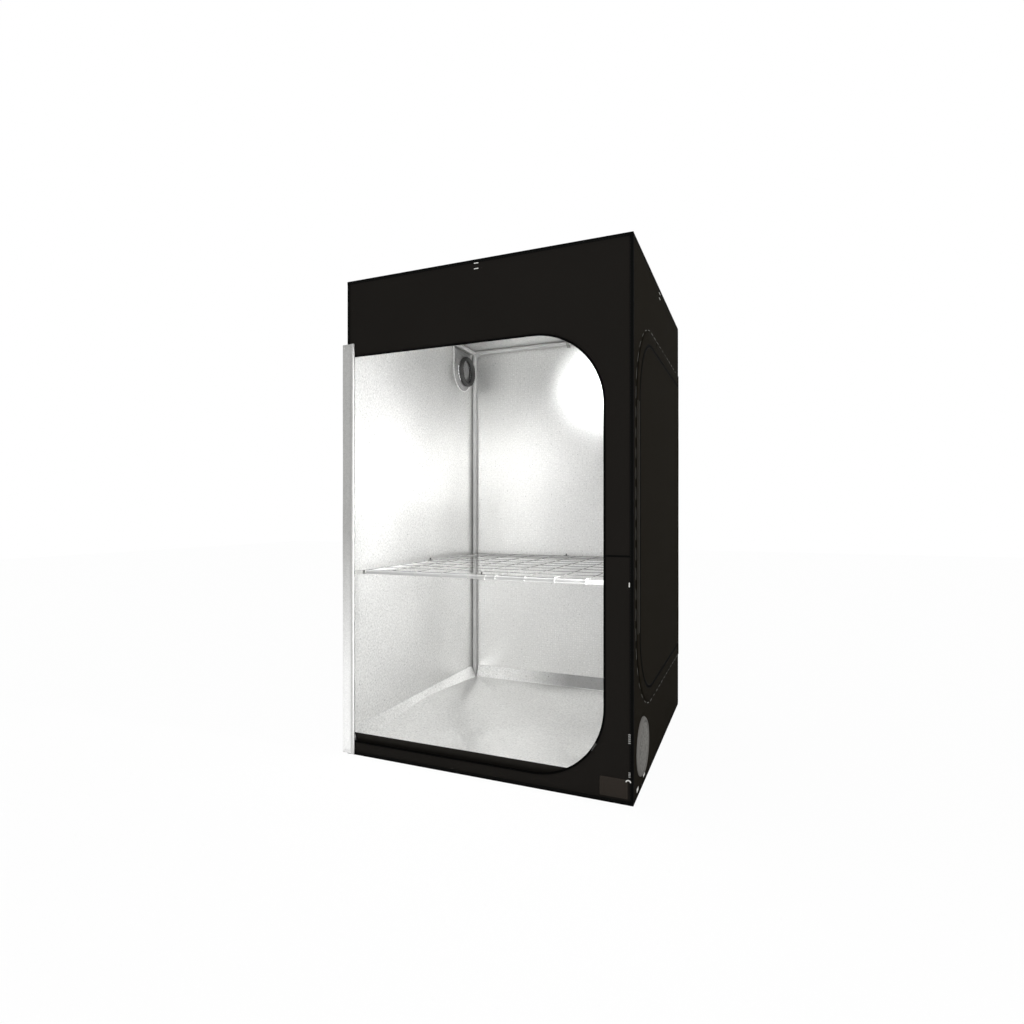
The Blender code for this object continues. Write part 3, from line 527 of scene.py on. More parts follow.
def mesh_piece(name, vertices, faces, materials, smooth=True):
    mesh = bpy.data.meshes.new(name)
    mesh.from_pydata([tuple(v) for v in vertices], [], faces)
    mesh.validate()
    for material in materials:
        mesh.materials.append(material)
    if smooth:
        mesh.shade_smooth()
        mesh.set_sharp_from_angle(angle=SHARP_ANGLE)
    return link(name, mesh)


def face_out(piece):
    """Turn a closed mesh's faces outwards."""
    shell = bmesh.new()
    shell.from_mesh(piece.data)
    bmesh.ops.recalc_face_normals(shell, faces=shell.faces)
    shell.to_mesh(piece.data)
    shell.free()


def thicken(piece, thickness=FABRIC, lining=1, rim=0):
    """Give a sheet its thickness; lining and rim count on from its first material."""
    solid = piece.modifiers.new("thickness", "SOLIDIFY")
    solid.thickness = thickness
    solid.offset = 0
    solid.material_offset = lining
    solid.material_offset_rim = rim


def dense(loop, step, closed=True):
    """The same outline with its long sides split into shorter ones."""
    points = []
    ends = loop[1:] + loop[:1] if closed else loop[1:]
    for start, end in zip(loop, ends):
        a, b = Vector(start), Vector(end)
        parts = max(1, round((b - a).length / step))
        points += [tuple(a.lerp(b, part / parts)) for part in range(parts)]
    if not closed:
        points.append(loop[-1])
    return points


def inside(points, loop):
    """Which of the points lie inside the loop."""
    x, y = points[:, 0], points[:, 1]
    within = np.zeros(len(points), bool)
    for (x0, y0), (x1, y1) in zip(loop, loop[1:] + loop[:1]):
        if y0 == y1:
            continue
        crosses = (y0 > y) != (y1 > y)
        within ^= crosses & (x < (x1 - x0) * (y - y0) / (y1 - y0) + x0)
    return within


def between(points, loops):
    """Which of the points lie inside the first loop and outside the others."""
    within = inside(points, loops[0])
    for hole in loops[1:]:
        within &= ~inside(points, hole)
    return within


def from_loops(points, loops):
    """Distance from each point to the nearest of the loops' sides."""
    best = np.full(len(points), np.inf)
    for loop in loops:
        for start, end in zip(loop, loop[1:] + loop[:1]):
            a, b = np.array(start), np.array(end)
            along = b - a
            share = np.clip((points - a) @ along / (along @ along), 0, 1)
            gap = points - (a + share[:, None] * along)
            best = np.minimum(best, np.hypot(gap[:, 0], gap[:, 1]))
    return best


def triangles_between(coarse, loops, inner, nearness):
    """A flat bmesh between the first loop and the others, which uses the inner points too.

    loops are the coarse loops with their long sides split.
    """
    points = []
    edges = []
    for loop in loops:
        first = len(points)
        points += loop
        edges += [(first + i, first + (i + 1) % len(loop)) for i in range(len(loop))]
    points += inner
    made = delaunay_2d_cdt([Vector(p) for p in points], edges, [], 0, nearness)
    flat = np.array([tuple(v) for v in made[0]])
    triangles = np.array(made[2])
    shell = bmesh.new()
    corners = [shell.verts.new((*point, 0)) for point in flat]
    for triangle in triangles[between(flat[triangles].mean(axis=1), coarse)]:
        shell.faces.new([corners[i] for i in triangle])
    return shell


def cut_sheet(outline, holes, cell, cuts):
    """Flat cloth cut to an outline, with extra rows of points where it is going to fold.

    It gives the flat points, the faces and each point's distance to an edge.
    """
    coarse = [outline] + list(holes)
    rows = []
    for low, high in zip(np.min(outline, axis=0), np.max(outline, axis=0)):
        rows.append(np.linspace(low, high, max(2, round((high - low) / cell)) + 1)[1:-1])
    grid = np.array([(a, b) for a in rows[0] for b in rows[1]])
    keep = between(grid, coarse) & (from_loops(grid, coarse) > cell * EDGE_ROOM_SHARE)
    inner = [tuple(p) for p in grid[keep]]
    shell = triangles_between(coarse, [dense(loop, cell) for loop in coarse], inner, SHEET_NEARNESS)
    for vertex in [v for v in shell.verts if not v.link_faces]:
        shell.verts.remove(vertex)
    for axis, value in cuts:
        across = Vector((1, 0, 0)) if axis == "u" else Vector((0, 1, 0))
        every = shell.verts[:] + shell.edges[:] + shell.faces[:]
        bmesh.ops.bisect_plane(shell, geom=every, dist=1e-6, plane_co=across * value, plane_no=across)
    shell.verts.index_update()
    flat = np.array([tuple(v.co)[:2] for v in shell.verts])
    faces = [tuple(v.index for v in face.verts) for face in shell.faces]
    shell.free()
    return flat, faces, from_loops(flat, coarse)


def cloth(
    name, outline, holes, to_space, outside, lining, seed, slack=SLACK, cell=SHEET_CELL, cuts=(),
    thickness=FABRIC,
):
    """A sheet of cloth with a lining on its back, slightly slack between its edges.

    to_space turns a flat point and a height above the sheet into a point of
    the tent, and the height runs towards the outside of the cloth.
    """
    flat, faces, edge = cut_sheet(outline, holes, cell, cuts)
    vertices = []
    for (u, v), gap in zip(flat, edge):
        wave = noise.noise(Vector((u / SLACK_SCALE, v / SLACK_SCALE, seed)))
        vertices.append(to_space(u, v, slack * wave * min(1.0, gap / EDGE_FADE)))
    a, b, c = (Vector(vertices[i]) for i in faces[0][:3])
    u, v = flat[faces[0][0]]
    outward = Vector(to_space(u, v, 1)) - Vector(to_space(u, v, 0))
    if (b - a).cross(c - a).dot(outward) < 0:
        faces = [face[::-1] for face in faces]
    piece = mesh_piece(name, vertices, faces, [outside, lining])
    thicken(piece, thickness)
    return piece


def doorway_path(hinge, free, bottom, top, radius):
    """The open path round a doorway, from its hinge side and back to it."""
    side = 1 if free > hinge else -1
    path = [(hinge, bottom)]
    for step in range(CORNER_STEPS + 1):
        angle = math.pi / 2 * step / CORNER_STEPS
        across = free - side * radius + side * radius * math.sin(angle)
        path.append((across, bottom + radius - radius * math.cos(angle)))
    for step in range(CORNER_STEPS + 1):
        angle = math.pi / 2 * step / CORNER_STEPS
        across = free - side * radius + side * radius * math.cos(angle)
        path.append((across, top - radius + radius * math.sin(angle)))
    path.append((hinge, top))
    return path


def circle(centre, radius, sides=64):
    turns = [math.tau * side / sides for side in range(sides)]
    return [(centre[0] + radius * math.cos(t), centre[1] + radius * math.sin(t)) for t in turns]


def rectangle(low_u, high_u, low_v, high_v):
    return [(low_u, low_v), (high_u, low_v), (high_u, high_v), (low_u, high_v)]


def rounded_box(centre, reach, radius, steps):
    """A rectangle with round corners; reach goes from its centre to the corners' own centres."""
    points = []
    for side, up, first in ((1, 1, 0), (-1, 1, 90), (-1, -1, 180), (1, -1, 270)):
        for step in range(steps + 1):
            angle = math.radians(first + 90 * step / steps)
            across = centre[0] + side * reach[0] + radius * math.cos(angle)
            points.append((across, centre[1] + up * reach[1] + radius * math.sin(angle)))
    return points


def tube_piece(name, paths, radius, material, sides):
    """Round cords along one or more paths of points."""
    curve = bpy.data.curves.new(name, "CURVE")
    curve.dimensions = "3D"
    curve.bevel_depth = radius
    curve.bevel_resolution = sides
    curve.use_fill_caps = True
    for path in paths:
        spline = curve.splines.new("POLY")
        spline.points.add(len(path) - 1)
        for point, place in zip(spline.points, path):
            point.co = (*place, 1)
    curve.materials.append(material)
    return link(name, curve)


def skin(rows, count):
    """The faces between rows of count points each."""
    faces = []
    for row in range(rows - 1):
        here = row * count
        for i in range(count):
            j = (i + 1) % count
            faces.append((here + i, here + j, here + count + j, here + count + i))
    return faces


def ribbon(path, width, name, material, thickness):
    """A flat tape on a path of (point, across, out) rows, raised on its outer side."""
    vertices = []
    for point, across, out in path:
        for side, lift in ((-0.5, 0.25), (-0.42, 1.0), (0.42, 1.0), (0.5, 0.25), (0.5, 0), (-0.5, 0)):
            vertices.append(Vector(point) + Vector(across) * width * side + Vector(out) * thickness * lift)
    count = 6
    last = (len(path) - 1) * count
    ends = [tuple(range(count)), tuple(last + i for i in reversed(range(count)))]
    piece = mesh_piece(name, vertices, skin(len(path), count) + ends, [material])
    face_out(piece)
    return piece


def taped(flat_path, width, name, material, thickness, to_space):
    """A tape that lies on a face, along a flat open path."""
    rows = []
    points = dense(flat_path, TAPE_CELL, closed=False)
    for index, (u, v) in enumerate(points):
        before = points[max(0, index - 1)]
        after = points[min(len(points) - 1, index + 1)]
        along = Vector((after[0] - before[0], after[1] - before[1])).normalized()
        base = Vector(to_space(u, v, 0))
        beside = Vector(to_space(u - along.y * TAPE_STEP, v + along.x * TAPE_STEP, 0))
        above = Vector(to_space(u, v, TAPE_STEP))
        rows.append((base, (beside - base) / TAPE_STEP, (above - base) / TAPE_STEP))
    return ribbon(rows, width, name, material, thickness)


def stitches(flat_path, name, material, to_space, length=0.0045, gap=0.003, radius=0.00045, rise=0.0004):
    """A dashed line of stitches along a flat open path."""
    points = dense(flat_path, STITCH_CELL, closed=False)
    runs = []
    total = 0.0
    for start, end in zip(points, points[1:]):
        run = (Vector(end) - Vector(start)).length
        runs.append((total, run, Vector(start), Vector(end)))
        total += run

    def at(distance):
        for offset, run, start, end in runs:
            if distance <= offset + run:
                return start.lerp(end, (distance - offset) / run)
        return runs[-1][3]

    vertices = []
    faces = []
    position = 0.0
    while position + length < total:
        a = at(position)
        b = at(position + length)
        along = (b - a).normalized()
        side = Vector((-along.y, along.x)) * radius
        first = len(vertices)
        for place, height in ((a, 0.0), (a.lerp(b, 0.25), rise), (a.lerp(b, 0.75), rise), (b, 0.0)):
            for edge, drop in ((-1, 0.3), (0, 1.0), (1, 0.3)):
                spot = place + side * edge
                vertices.append(to_space(spot.x, spot.y, max(0.0, height * drop)))
        for row in range(3):
            for column in range(2):
                corner = first + row * 3 + column
                faces.append((corner, corner + 1, corner + 4, corner + 3))
        position += length + gap
    return mesh_piece(name, vertices, faces, [material])


# Where the flat faces of the cover lie: each takes (u, v, outward)
MID = FABRIC / 2


def on_front(u, v, out):
    return (u, -HALF_Y + MID - out, v)


def on_rear(u, v, out):
    return (u, HALF_Y - MID + out, v)


def on_left(u, v, out):
    return (-HALF_X + MID - out, u, v)


def on_right(u, v, out):
    return (HALF_X - MID + out, u, v)


def on_roof(u, v, out):
    return (u, v, ROOF_TOP - MID + out)


def on_ground(u, v, out):
    return (u, v, MID - out)


# Pale marks that show outside: face, place, width and height
TACKS = (
    (on_front, 0.0, 1.965, 0.019, 0.003),
    (on_front, 0.0, 1.944, 0.019, 0.003),
    (on_front, 0.5867, 0.762, 0.0045, 0.016),
    (on_right, -0.02, 1.959, 0.03, 0.003),
    (on_right, -0.02, 1.937, 0.03, 0.003),
    (on_right, -0.02, 0.765, 0.012, 0.011),
    (on_right, 0.55, 0.761, 0.03, 0.016),
    (on_right, -0.397, 0.031, 0.03, 0.012),
    (on_right, -0.525, 0.027, 0.03, 0.012),
)

TACK_PITCH = 0.0016
TACK_WIDTH = 0.0015
TACK_RISE = 0.0007

# Ribbed tabs on the front: place of the lowest rib, number of ribs, width and pitch
RIBS = (
    (0.587, 0.2165, 5, 0.008, 0.0072),
    (0.587, 0.0995, 4, 0.007, 0.0049),
)
RIB_SHARE = 0.42
RIB_RISE = 0.0016

# Small hook low on the front: place and radius, and its first angle and turn in degrees
CRESCENT = (0.583, 0.081, 0.0079)
CRESCENT_TURN = (-4, 180)
CRESCENT_STEPS = 12
CRESCENT_RISE = 0.0014
CRESCENT_CORD = 0.0019
CRESCENT_SQUASH = 0.8


def on_front_zip(u, v, out):
    place = middle("front_zip_slider")
    across, up = FRONT_SLIDER_MOVE
    return (u + place.x + across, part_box("front_zip_slider")[1].y - out, v + place.z + up)


def on_side_zip(u, v, out):
    place = middle("side_zip_slider")
    return (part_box("side_zip_slider")[0].x + out, u + place.y, v + place.z)


def finish_piece(piece, body, slot, *nodes):
    """Say what a piece rides on, and hide the solids it stands for."""
    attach(piece, body)
    if nodes:
        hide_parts(*nodes)
    return piece


def make_cover():
    """The six walls of the cover, black outside and silver inside."""
    low = FABRIC
    high = ROOF_TOP - FABRIC
    long = rectangle(-HALF_X + FABRIC, HALF_X - FABRIC, low, high)
    deep = rectangle(-HALF_Y + FABRIC, HALF_Y - FABRIC, low, high)
    level = rectangle(-HALF_X, HALF_X, -HALF_Y, HALF_Y)
    door = doorway_path(OPEN_LEFT, OPEN_RIGHT, OPEN_BOTTOM, OPEN_TOP, FRONT_RADIUS)
    side_door = doorway_path(SIDE_REAR, SIDE_FRONT, SIDE_BOTTOM, SIDE_TOP, SIDE_RADIUS)
    duct = middle("duct_sleeve")
    duct = circle((duct.y, duct.z), SLEEVE_BORE)
    vent = middle("vent_ring")
    vent = circle((vent.y, vent.z), VENT_BORE)
    walls = (
        ("front_wall", long, [door], on_front, canvas, bumpy_film, 1.3),
        ("rear_wall", long, [], on_rear, canvas, scrim_film, 2.7),
        ("left_wall", deep, [duct], on_left, side_canvas_painted_light, bumpy_film, 3.1),
        ("right_wall", deep, [side_door, vent], on_right, side_canvas_painted_light, scrim_film, 4.9),
        ("roof_panel", level, [], on_roof, canvas, bumpy_film, 5.2),
        ("ground_sheet", level, [], on_ground, canvas, canvas, 6.4),
    )
    for node, outline, holes, to_space, outside, lining, seed in walls:
        slack = 0 if node == "ground_sheet" else SLACK
        piece = cloth("cover_" + node, outline, holes, to_space, outside, lining, seed, slack)
        finish_piece(piece, "tent", "black_canvas", node)
        across = outline[2][0] - outline[0][0]
        up = outline[2][1] - outline[0][1]
        area = polygon_area(outline) - sum(polygon_area(hole) for hole in holes)
        area = max(area, LEAST_AREA_SHARE * across * up)


def polygon_area(loop):
    pairs = zip(loop, loop[1:] + loop[:1])
    return abs(sum(x0 * y1 - x1 * y0 for (x0, y0), (x1, y1) in pairs)) / 2


def section_run(name, start, end, section, side_a, side_b, material, step=0.05):
    """A closed section of (a, b) points run straight from start to end."""
    start, end = Vector(start), Vector(end)
    rows = max(1, round((end - start).length / step))
    vertices = []
    for row in range(rows + 1):
        centre = start.lerp(end, row / rows)
        vertices += [centre + side_a * a + side_b * b for a, b in section]
    count = len(section)
    ends = [tuple(range(count)), tuple(rows * count + i for i in range(count))]
    piece = mesh_piece(name, vertices, ends + skin(rows + 1, count), [material])
    face_out(piece)
    return piece


def join(name, pieces):
    """Several meshes as one piece."""
    shell = bmesh.new()
    materials = []
    for piece in pieces:
        first = len(shell.faces)
        shell.from_mesh(piece.data)
        shell.faces.ensure_lookup_table()
        for face in shell.faces[first:]:
            material = piece.data.materials[face.material_index]
            if material not in materials:
                materials.append(material)
            face.material_index = materials.index(material)
    mesh = bpy.data.meshes.new(name)
    shell.to_mesh(mesh)
    shell.free()
    for material in materials:
        mesh.materials.append(material)
    mesh.set_sharp_from_angle(angle=SHARP_ANGLE)
    for piece in pieces:
        bpy.data.objects.remove(piece, do_unlink=True)
    return link(name, mesh)


def make_bindings():
    """Sewn binding tape folded over the twelve edges of the cover."""
    w, t, r = BINDING_WIDTH, BINDING_THICKNESS, BINDING_ROUND
    section = [(w, -t)]
    for step in range(BINDING_STEPS + 1):
        angle = math.pi / 2 * step / BINDING_STEPS
        section.append((r - (r + t) * math.sin(angle), r - (r + t) * math.cos(angle)))
    section += [(-t, w), (0, w), (0, 0), (w, 0)]
    top = ROOF_TOP
    x, y, z = Vector((1, 0, 0)), Vector((0, 1, 0)), Vector((0, 0, 1))
    uprights = []
    for side, end in ((1, 1), (-1, 1), (-1, -1), (1, -1)):
        corner = (side * HALF_X, end * HALF_Y)
        run = ("upright", (*corner, w), (*corner, top - w), section, x * -side, y * -end, binding)
        uprights.append(section_run(*run))
    finish_piece(join("edge_binding_upright", uprights), "tent", "black_canvas")
    for label, level, inward in (("bottom", t + LIFT, z), ("top", top, -z)):
        runs = []
        for side in (1, -1):
            ends = ((-HALF_X, side * HALF_Y, level), (HALF_X, side * HALF_Y, level))
            runs.append(section_run("level", *ends, section, y * -side, inward, binding))
            ends = ((side * HALF_X, w - HALF_Y, level), (side * HALF_X, HALF_Y - w, level))
            runs.append(section_run("level", *ends, section, x * -side, inward, binding))
        finish_piece(join("edge_binding_" + label, runs), "tent", "black_canvas")


def make_wall_seams():
    """Rows of stitches beside the bindings, and the seam across the front."""
    inset = BINDING_WIDTH - BINDING_STITCH_INSET
    end = BINDING_STITCH_END
    proud = MID + BINDING_THICKNESS
    rows = []
    for to_space, half in ((on_front, HALF_X), (on_rear, HALF_X), (on_left, HALF_Y), (on_right, HALF_Y)):
        def above(u, v, out, to_space=to_space):
            return to_space(u, v, out + proud)

        paths = [[(u, end), (u, ROOF_TOP - end)] for u in (-half + inset, half - inset)]
        paths += [[(end - half, v), (half - end, v)] for v in (inset, ROOF_TOP - inset)]
        rows += [stitches(path, "row", dark_thread, above, gap=BINDING_STITCH_GAP) for path in paths]
    finish_piece(join("binding_stitches", rows), "tent", "black_canvas")
    path = [(OPEN_RIGHT + ZIP_WIDTH, SEAM_HEIGHT), (HALF_X - BINDING_WIDTH, SEAM_HEIGHT)]
    seam = taped(path, SEAM_WIDTH, "front_seam", binding, MID + SEAM_RISE, on_front)
    finish_piece(seam, "tent", "black_canvas")


def front_door_space():
    """Where the front door's flat cloth lies: along the strip and round the fold."""
    hinge_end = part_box("front_door_strip")[1].x
    line = middle("front_door_strip").y
    fold = middle("front_door_panel").x
    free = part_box("front_door_panel")[1].y
    first = hinge_end - fold - FOLD_RADIUS
    arc = FOLD_RADIUS * math.pi / 2
    total = first + arc + free - line - FOLD_RADIUS

    def on_door(s, z, out):
        if s < first:
            return (hinge_end - s, line - out, z)
        if s > first + arc:
            return (fold - out, line + FOLD_RADIUS + s - first - arc, z)
        angle = (s - first) / FOLD_RADIUS
        reach = FOLD_RADIUS + out
        centre_x = fold + FOLD_RADIUS
        centre_y = line + FOLD_RADIUS
        return (centre_x - reach * math.sin(angle), centre_y - reach * math.cos(angle), z)

    return on_door, first, arc, total


def studs(path, name, material, to_space, base):
    """Small raised teeth, turn and turn about on both sides of a path."""
    points = dense(path, STITCH_CELL, closed=False)
    half, length = TEETH_HALF, TEETH_LENGTH
    vertices = []
    faces = []
    position = 0.0
    side = 1
    for start, end in zip(points, points[1:]):
        a, b = Vector(start), Vector(end)
        run = (b - a).length
        along = (b - a) / run
        across = Vector((-along.y, along.x))
        while position <= run:
            centre = a + along * position + across * half * TEETH_STAGGER * side
            first = len(vertices)
            for height, grow in ((0.0, 1.0), (TEETH_RISE, TEETH_TOP)):
                for p, q in ((-1, -1), (1, -1), (1, 1), (-1, 1)):
                    spot = centre + along * length * p * grow + across * half * q * grow
                    vertices.append(to_space(spot.x, spot.y, base + height))
            faces += [tuple(first + i for i in face) for face in skin(2, 4) + [(4, 5, 6, 7), (3, 2, 1, 0)]]
            position += TEETH_PITCH
            side = -side
        position -= run
    piece = mesh_piece(name, vertices, faces, [material])
    face_out(piece)
    return piece


def make_front_door():
    """The front door: one sheet from its hinge roll round the fold to its free edge."""
    on_door, first, arc, total = front_door_space()
    low, high = (corner.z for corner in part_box("front_door_panel"))
    radius = FRONT_RADIUS + FRONT_OVERLAP

    def outline(inset, start=0):
        """The door's edge drawn in on its three free sides."""
        return doorway_path(start, total - inset, low + inset, high - inset, radius - inset)

    def silver_side(u, v, out):
        return on_door(u, v, MID + out)

    def black_side(u, v, out):
        return on_door(u, v, -MID - out)

    cuts = [("u", first + arc * step / FOLD_STEPS) for step in range(FOLD_STEPS + 1)]
    sheet = cloth("front_door_sheet", outline(0), [], on_door, strip_film_painted_shade, canvas, 8.2, cuts=cuts)
    inner = outline(FRONT_OVERLAP - ZIP_WIDTH / 2, first + arc + ZIP_START)
    hem = outline(HEM_STITCH_INSET, HEM_START)
    edge = outline(HEM_WIDTH / 2, HEM_START)
    trims = [
        join("front_door_zip", [
            taped(inner, ZIP_WIDTH, "tape_in", zip_tape, HEM_RISE, silver_side),
            taped(inner, ZIP_WIDTH, "tape_out", zip_tape, TAPE_RISE, black_side),
            studs(inner, "teeth_out", zip_black, black_side, TAPE_RISE),
        ]),
        join("front_door_hem_stitches", [
            stitches(hem, "hem_in", silver_thread, silver_side),
            stitches(hem, "hem_out", grey_thread, black_side),
        ]),
        join("front_door_hem", [
            taped(edge, HEM_WIDTH, "hem_fold_in", strip_film_painted_shade, HEM_RISE, silver_side),
            taped(edge, HEM_WIDTH, "hem_fold_out", binding, HEM_RISE, black_side),
        ]),
    ]
    start, end = on_door(first, 0, 0), on_door(first + arc, 0, 0)
    for piece in [sheet] + trims:
        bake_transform(piece)
        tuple(start)
        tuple(end)
    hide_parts("front_door_strip", "front_door_panel")
    roll = make_roll("front_door_roll", "front_hinge_piping", FRONT_ROLL, roll_film_painted_shade, "silver_lining")
    flat, area = (total, high - low), polygon_area(outline(0))


def make_roll(name, node, size, material, slot):
    """The rolled seam that a door turns on, round the line of the hinge."""
    low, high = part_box(node)
    centre = (low + high) / 2
    section = []
    for step in range(ROLL_SIDES):
        angle = math.tau * step / ROLL_SIDES
        section.append((size[0] * math.cos(angle) + size[2], size[1] * math.sin(angle)))
    start = (centre.x, centre.y, low.z)
    end = (centre.x, centre.y, high.z)
    roll = section_run(name, start, end, section, Vector((1, 0, 0)), Vector((0, 1, 0)), material, 0.02)
    for vertex in roll.data.vertices:
        swell = ROLL_SWELL * noise.noise(vertex.co * ROLL_SWELL_SCALE)
        vertex.co.x += swell
        vertex.co.y += swell
    return finish_piece(roll, "tent", slot, node)


def make_side_door():
    """The closed side door: canvas outside and film inside, with its zip and seams."""
    low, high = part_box("side_door")
    front, rear = low.y, high.y
    radius = SIDE_RADIUS + SIDE_OVERLAP

    def outline(inset):
        """The door's edge drawn in on its three free sides."""
        return doorway_path(rear, front + inset, low.z + inset, high.z - inset, radius - inset)

    def on_side_door(u, v, out):
        return (SIDE_DOOR_FACE + out, u, v)

    def outer(u, v, out):
        return on_side_door(u, v, MID + out)

    def beside(u, v, out):
        return on_right(u, v, MID + out)

    sheet = cloth("side_door_sheet", outline(0), [], on_side_door, side_canvas_painted_light, scrim_film, 9.6)
    zip_inset = SIDE_OVERLAP - ZIP_WIDTH / 2
    inner = outline(zip_inset)
    trims = [
        join("side_door_zip", [
            taped(inner, SIDE_TAPE_WIDTH, "tape", zip_tape, SIDE_TAPE_RISE, outer),
            studs(inner, "teeth", zip_tape, outer, SIDE_TAPE_RISE),
        ]),
        stitches(outline(zip_inset + ZIP_WIDTH), "side_door_stitches", dark_thread, outer),
    ]
    path = outline(-OUTLINE_REACH)
    line = stitches(path, "side_outline_stitches", outline_thread, beside, *OUTLINE_STITCH)
    finish_piece(line, "tent", "black_canvas")
    cords = []
    for y in SIDE_CORD_PLACES:
        path = [(y, z) for z in SIDE_CORD_ENDS]
        cords.append(taped(path, SIDE_CORD_WIDTH, "cord", grey_thread, SIDE_CORD_RISE, outer))
    trims.append(join("side_door_guide", cords))
    for piece in [sheet] + trims:
        finish_piece(piece, "side_door", "black_canvas")
    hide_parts("side_door")
    roll = make_roll("side_door_roll", "side_hinge_piping", SIDE_ROLL, side_canvas_painted_light, "black_canvas")
    flat, area = (rear - front, high.z - low.z), polygon_area(outline(0))


def make_wall_zips():
    """The zip tapes sewn round both doorways."""
    half = ZIP_WIDTH / 2
    doorways = (
        ("front_zip", OPEN_LEFT, OPEN_RIGHT + half, OPEN_BOTTOM, OPEN_TOP, FRONT_RADIUS, on_front),
        ("side_zip", SIDE_REAR, SIDE_FRONT - half, SIDE_BOTTOM, SIDE_TOP, SIDE_RADIUS, on_right),
    )
    for name, hinge, free, bottom, top, radius, to_space in doorways:
        path = doorway_path(hinge, free, bottom - half, top + half, radius + half)
        piece = join(name, [
            taped(path, ZIP_WIDTH, "tape", zip_tape, MID + TAPE_RISE, to_space),
            studs(path, "teeth", zip_black, to_space, MID + TAPE_RISE),
        ])
        finish_piece(piece, "tent", "zip_tape", name + "_track")


def make_tray():
    """Floor tray: a flat floor that rises to four slanting lips, open at its corners."""
    low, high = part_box("floor_tray")
    rim = high.x - MID
    lip_top = high.z
    run = rim - TRAY_FOLD
    slant = math.hypot(run, lip_top - TRAY_FOLD_HEIGHT)
    floor = low.z + MID
    reach = TRAY_FOLD + slant
    end = TRAY_FOLD - TRAY_NOTCH

    def fold_level(u, v):
        """Height of the fold: on the left side it climbs away from the rear corner."""
        aside = min(1, max(0, (-u - TRAY_FLAT) / (TRAY_FOLD - TRAY_FLAT)))
        forward = min(1, max(0, (TRAY_FOLD - v) / TRAY_LEFT_RUN))
        rearward = min(1, max(0, (TRAY_FOLD + v) / TRAY_FRONT_RUN))
        return TRAY_FOLD_HEIGHT + TRAY_LEFT_RISE * aside * forward * rearward

    def on_tray(u, v, out):
        far = max(abs(u), abs(v))
        fold = fold_level(u, v)
        share = min(1, max(0, (far - TRAY_FLAT) / (TRAY_FOLD - TRAY_FLAT)))
        lift = (fold - floor) * (share + share * share * (3 - 2 * share)) / 2
        if far <= TRAY_FOLD:
            return (u, v, floor + lift + abs(out))
        past = (far - TRAY_FOLD) / slant
        inward = abs(out)
        level = TRAY_FOLD + past * run - inward * (lip_top - fold) / slant
        height = fold + past * (lip_top - fold) + inward * run / slant
        if abs(u) > abs(v):
            return (math.copysign(level, u), v, height)
        return (u, math.copysign(level, v), height)

    f, e = TRAY_FOLD, end
    outline = [
        (-f, -f), (-e, -f), (-e, -reach), (e, -reach), (e, -f), (f, -f), (f, -e), (reach, -e),
        (reach, e), (f, e), (f, f), (e, f), (e, reach), (-e, reach), (-e, f), (-f, f),
        (-f, e), (-reach, e), (-reach, -e), (-f, -e),
    ]
    rise = (TRAY_FOLD - TRAY_FLAT) / TRAY_RISE_STEPS
    values = [TRAY_FLAT + rise * step for step in range(TRAY_RISE_STEPS)]
    values += [TRAY_FOLD + share * TRAY_CREASE for share in (-3, -1, 1, 3)]
    values += [reach - 4 * TRAY_CREASE, reach - TRAY_CREASE]
    cuts = [(axis, side * value) for value in values for axis in "uv" for side in (1, -1)]
    sheet = cloth(
        "floor_tray_sheet", outline, [], on_tray, tray_film, tray_canvas_painted_light, 11.4, TRAY_SLACK, cuts=cuts
    )
    finish_piece(sheet, "tent", "silver_lining", "floor_tray")
    flat, area = (2 * reach, 2 * reach), polygon_area(outline)


def lathe(name, profile, sides, materials, to_space, ripple=None):
    """Revolve (radius, height) pairs; ripple gives each point's own change of radius."""
    vertices = []
    for index, (radius, height) in enumerate(profile):
        for side in range(sides):
            angle = math.tau * side / sides
            reach = radius + (ripple(index, angle) if ripple else 0)
            vertices.append(to_space(reach * math.cos(angle), reach * math.sin(angle), height))
    return mesh_piece(name, vertices, skin(len(profile), sides), materials)


def port_outline(top, radius):
    """Straight sides down from the top and half a circle below, round the duct's axis."""
    path = [(radius, top)]
    for step in range(PORT_STEPS + 1):
        angle = -math.pi * step / PORT_STEPS
        path.append((radius * math.cos(angle), radius * math.sin(angle)))
    path.append((-radius, top))
    return path


def on_port(u, v, out):
    """The inner face of the left wall, with the duct's axis as its middle."""
    centre = middle("duct_sleeve")
    return (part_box("duct_sleeve")[0].x + MID + out, centre.y + u, centre.z + v)


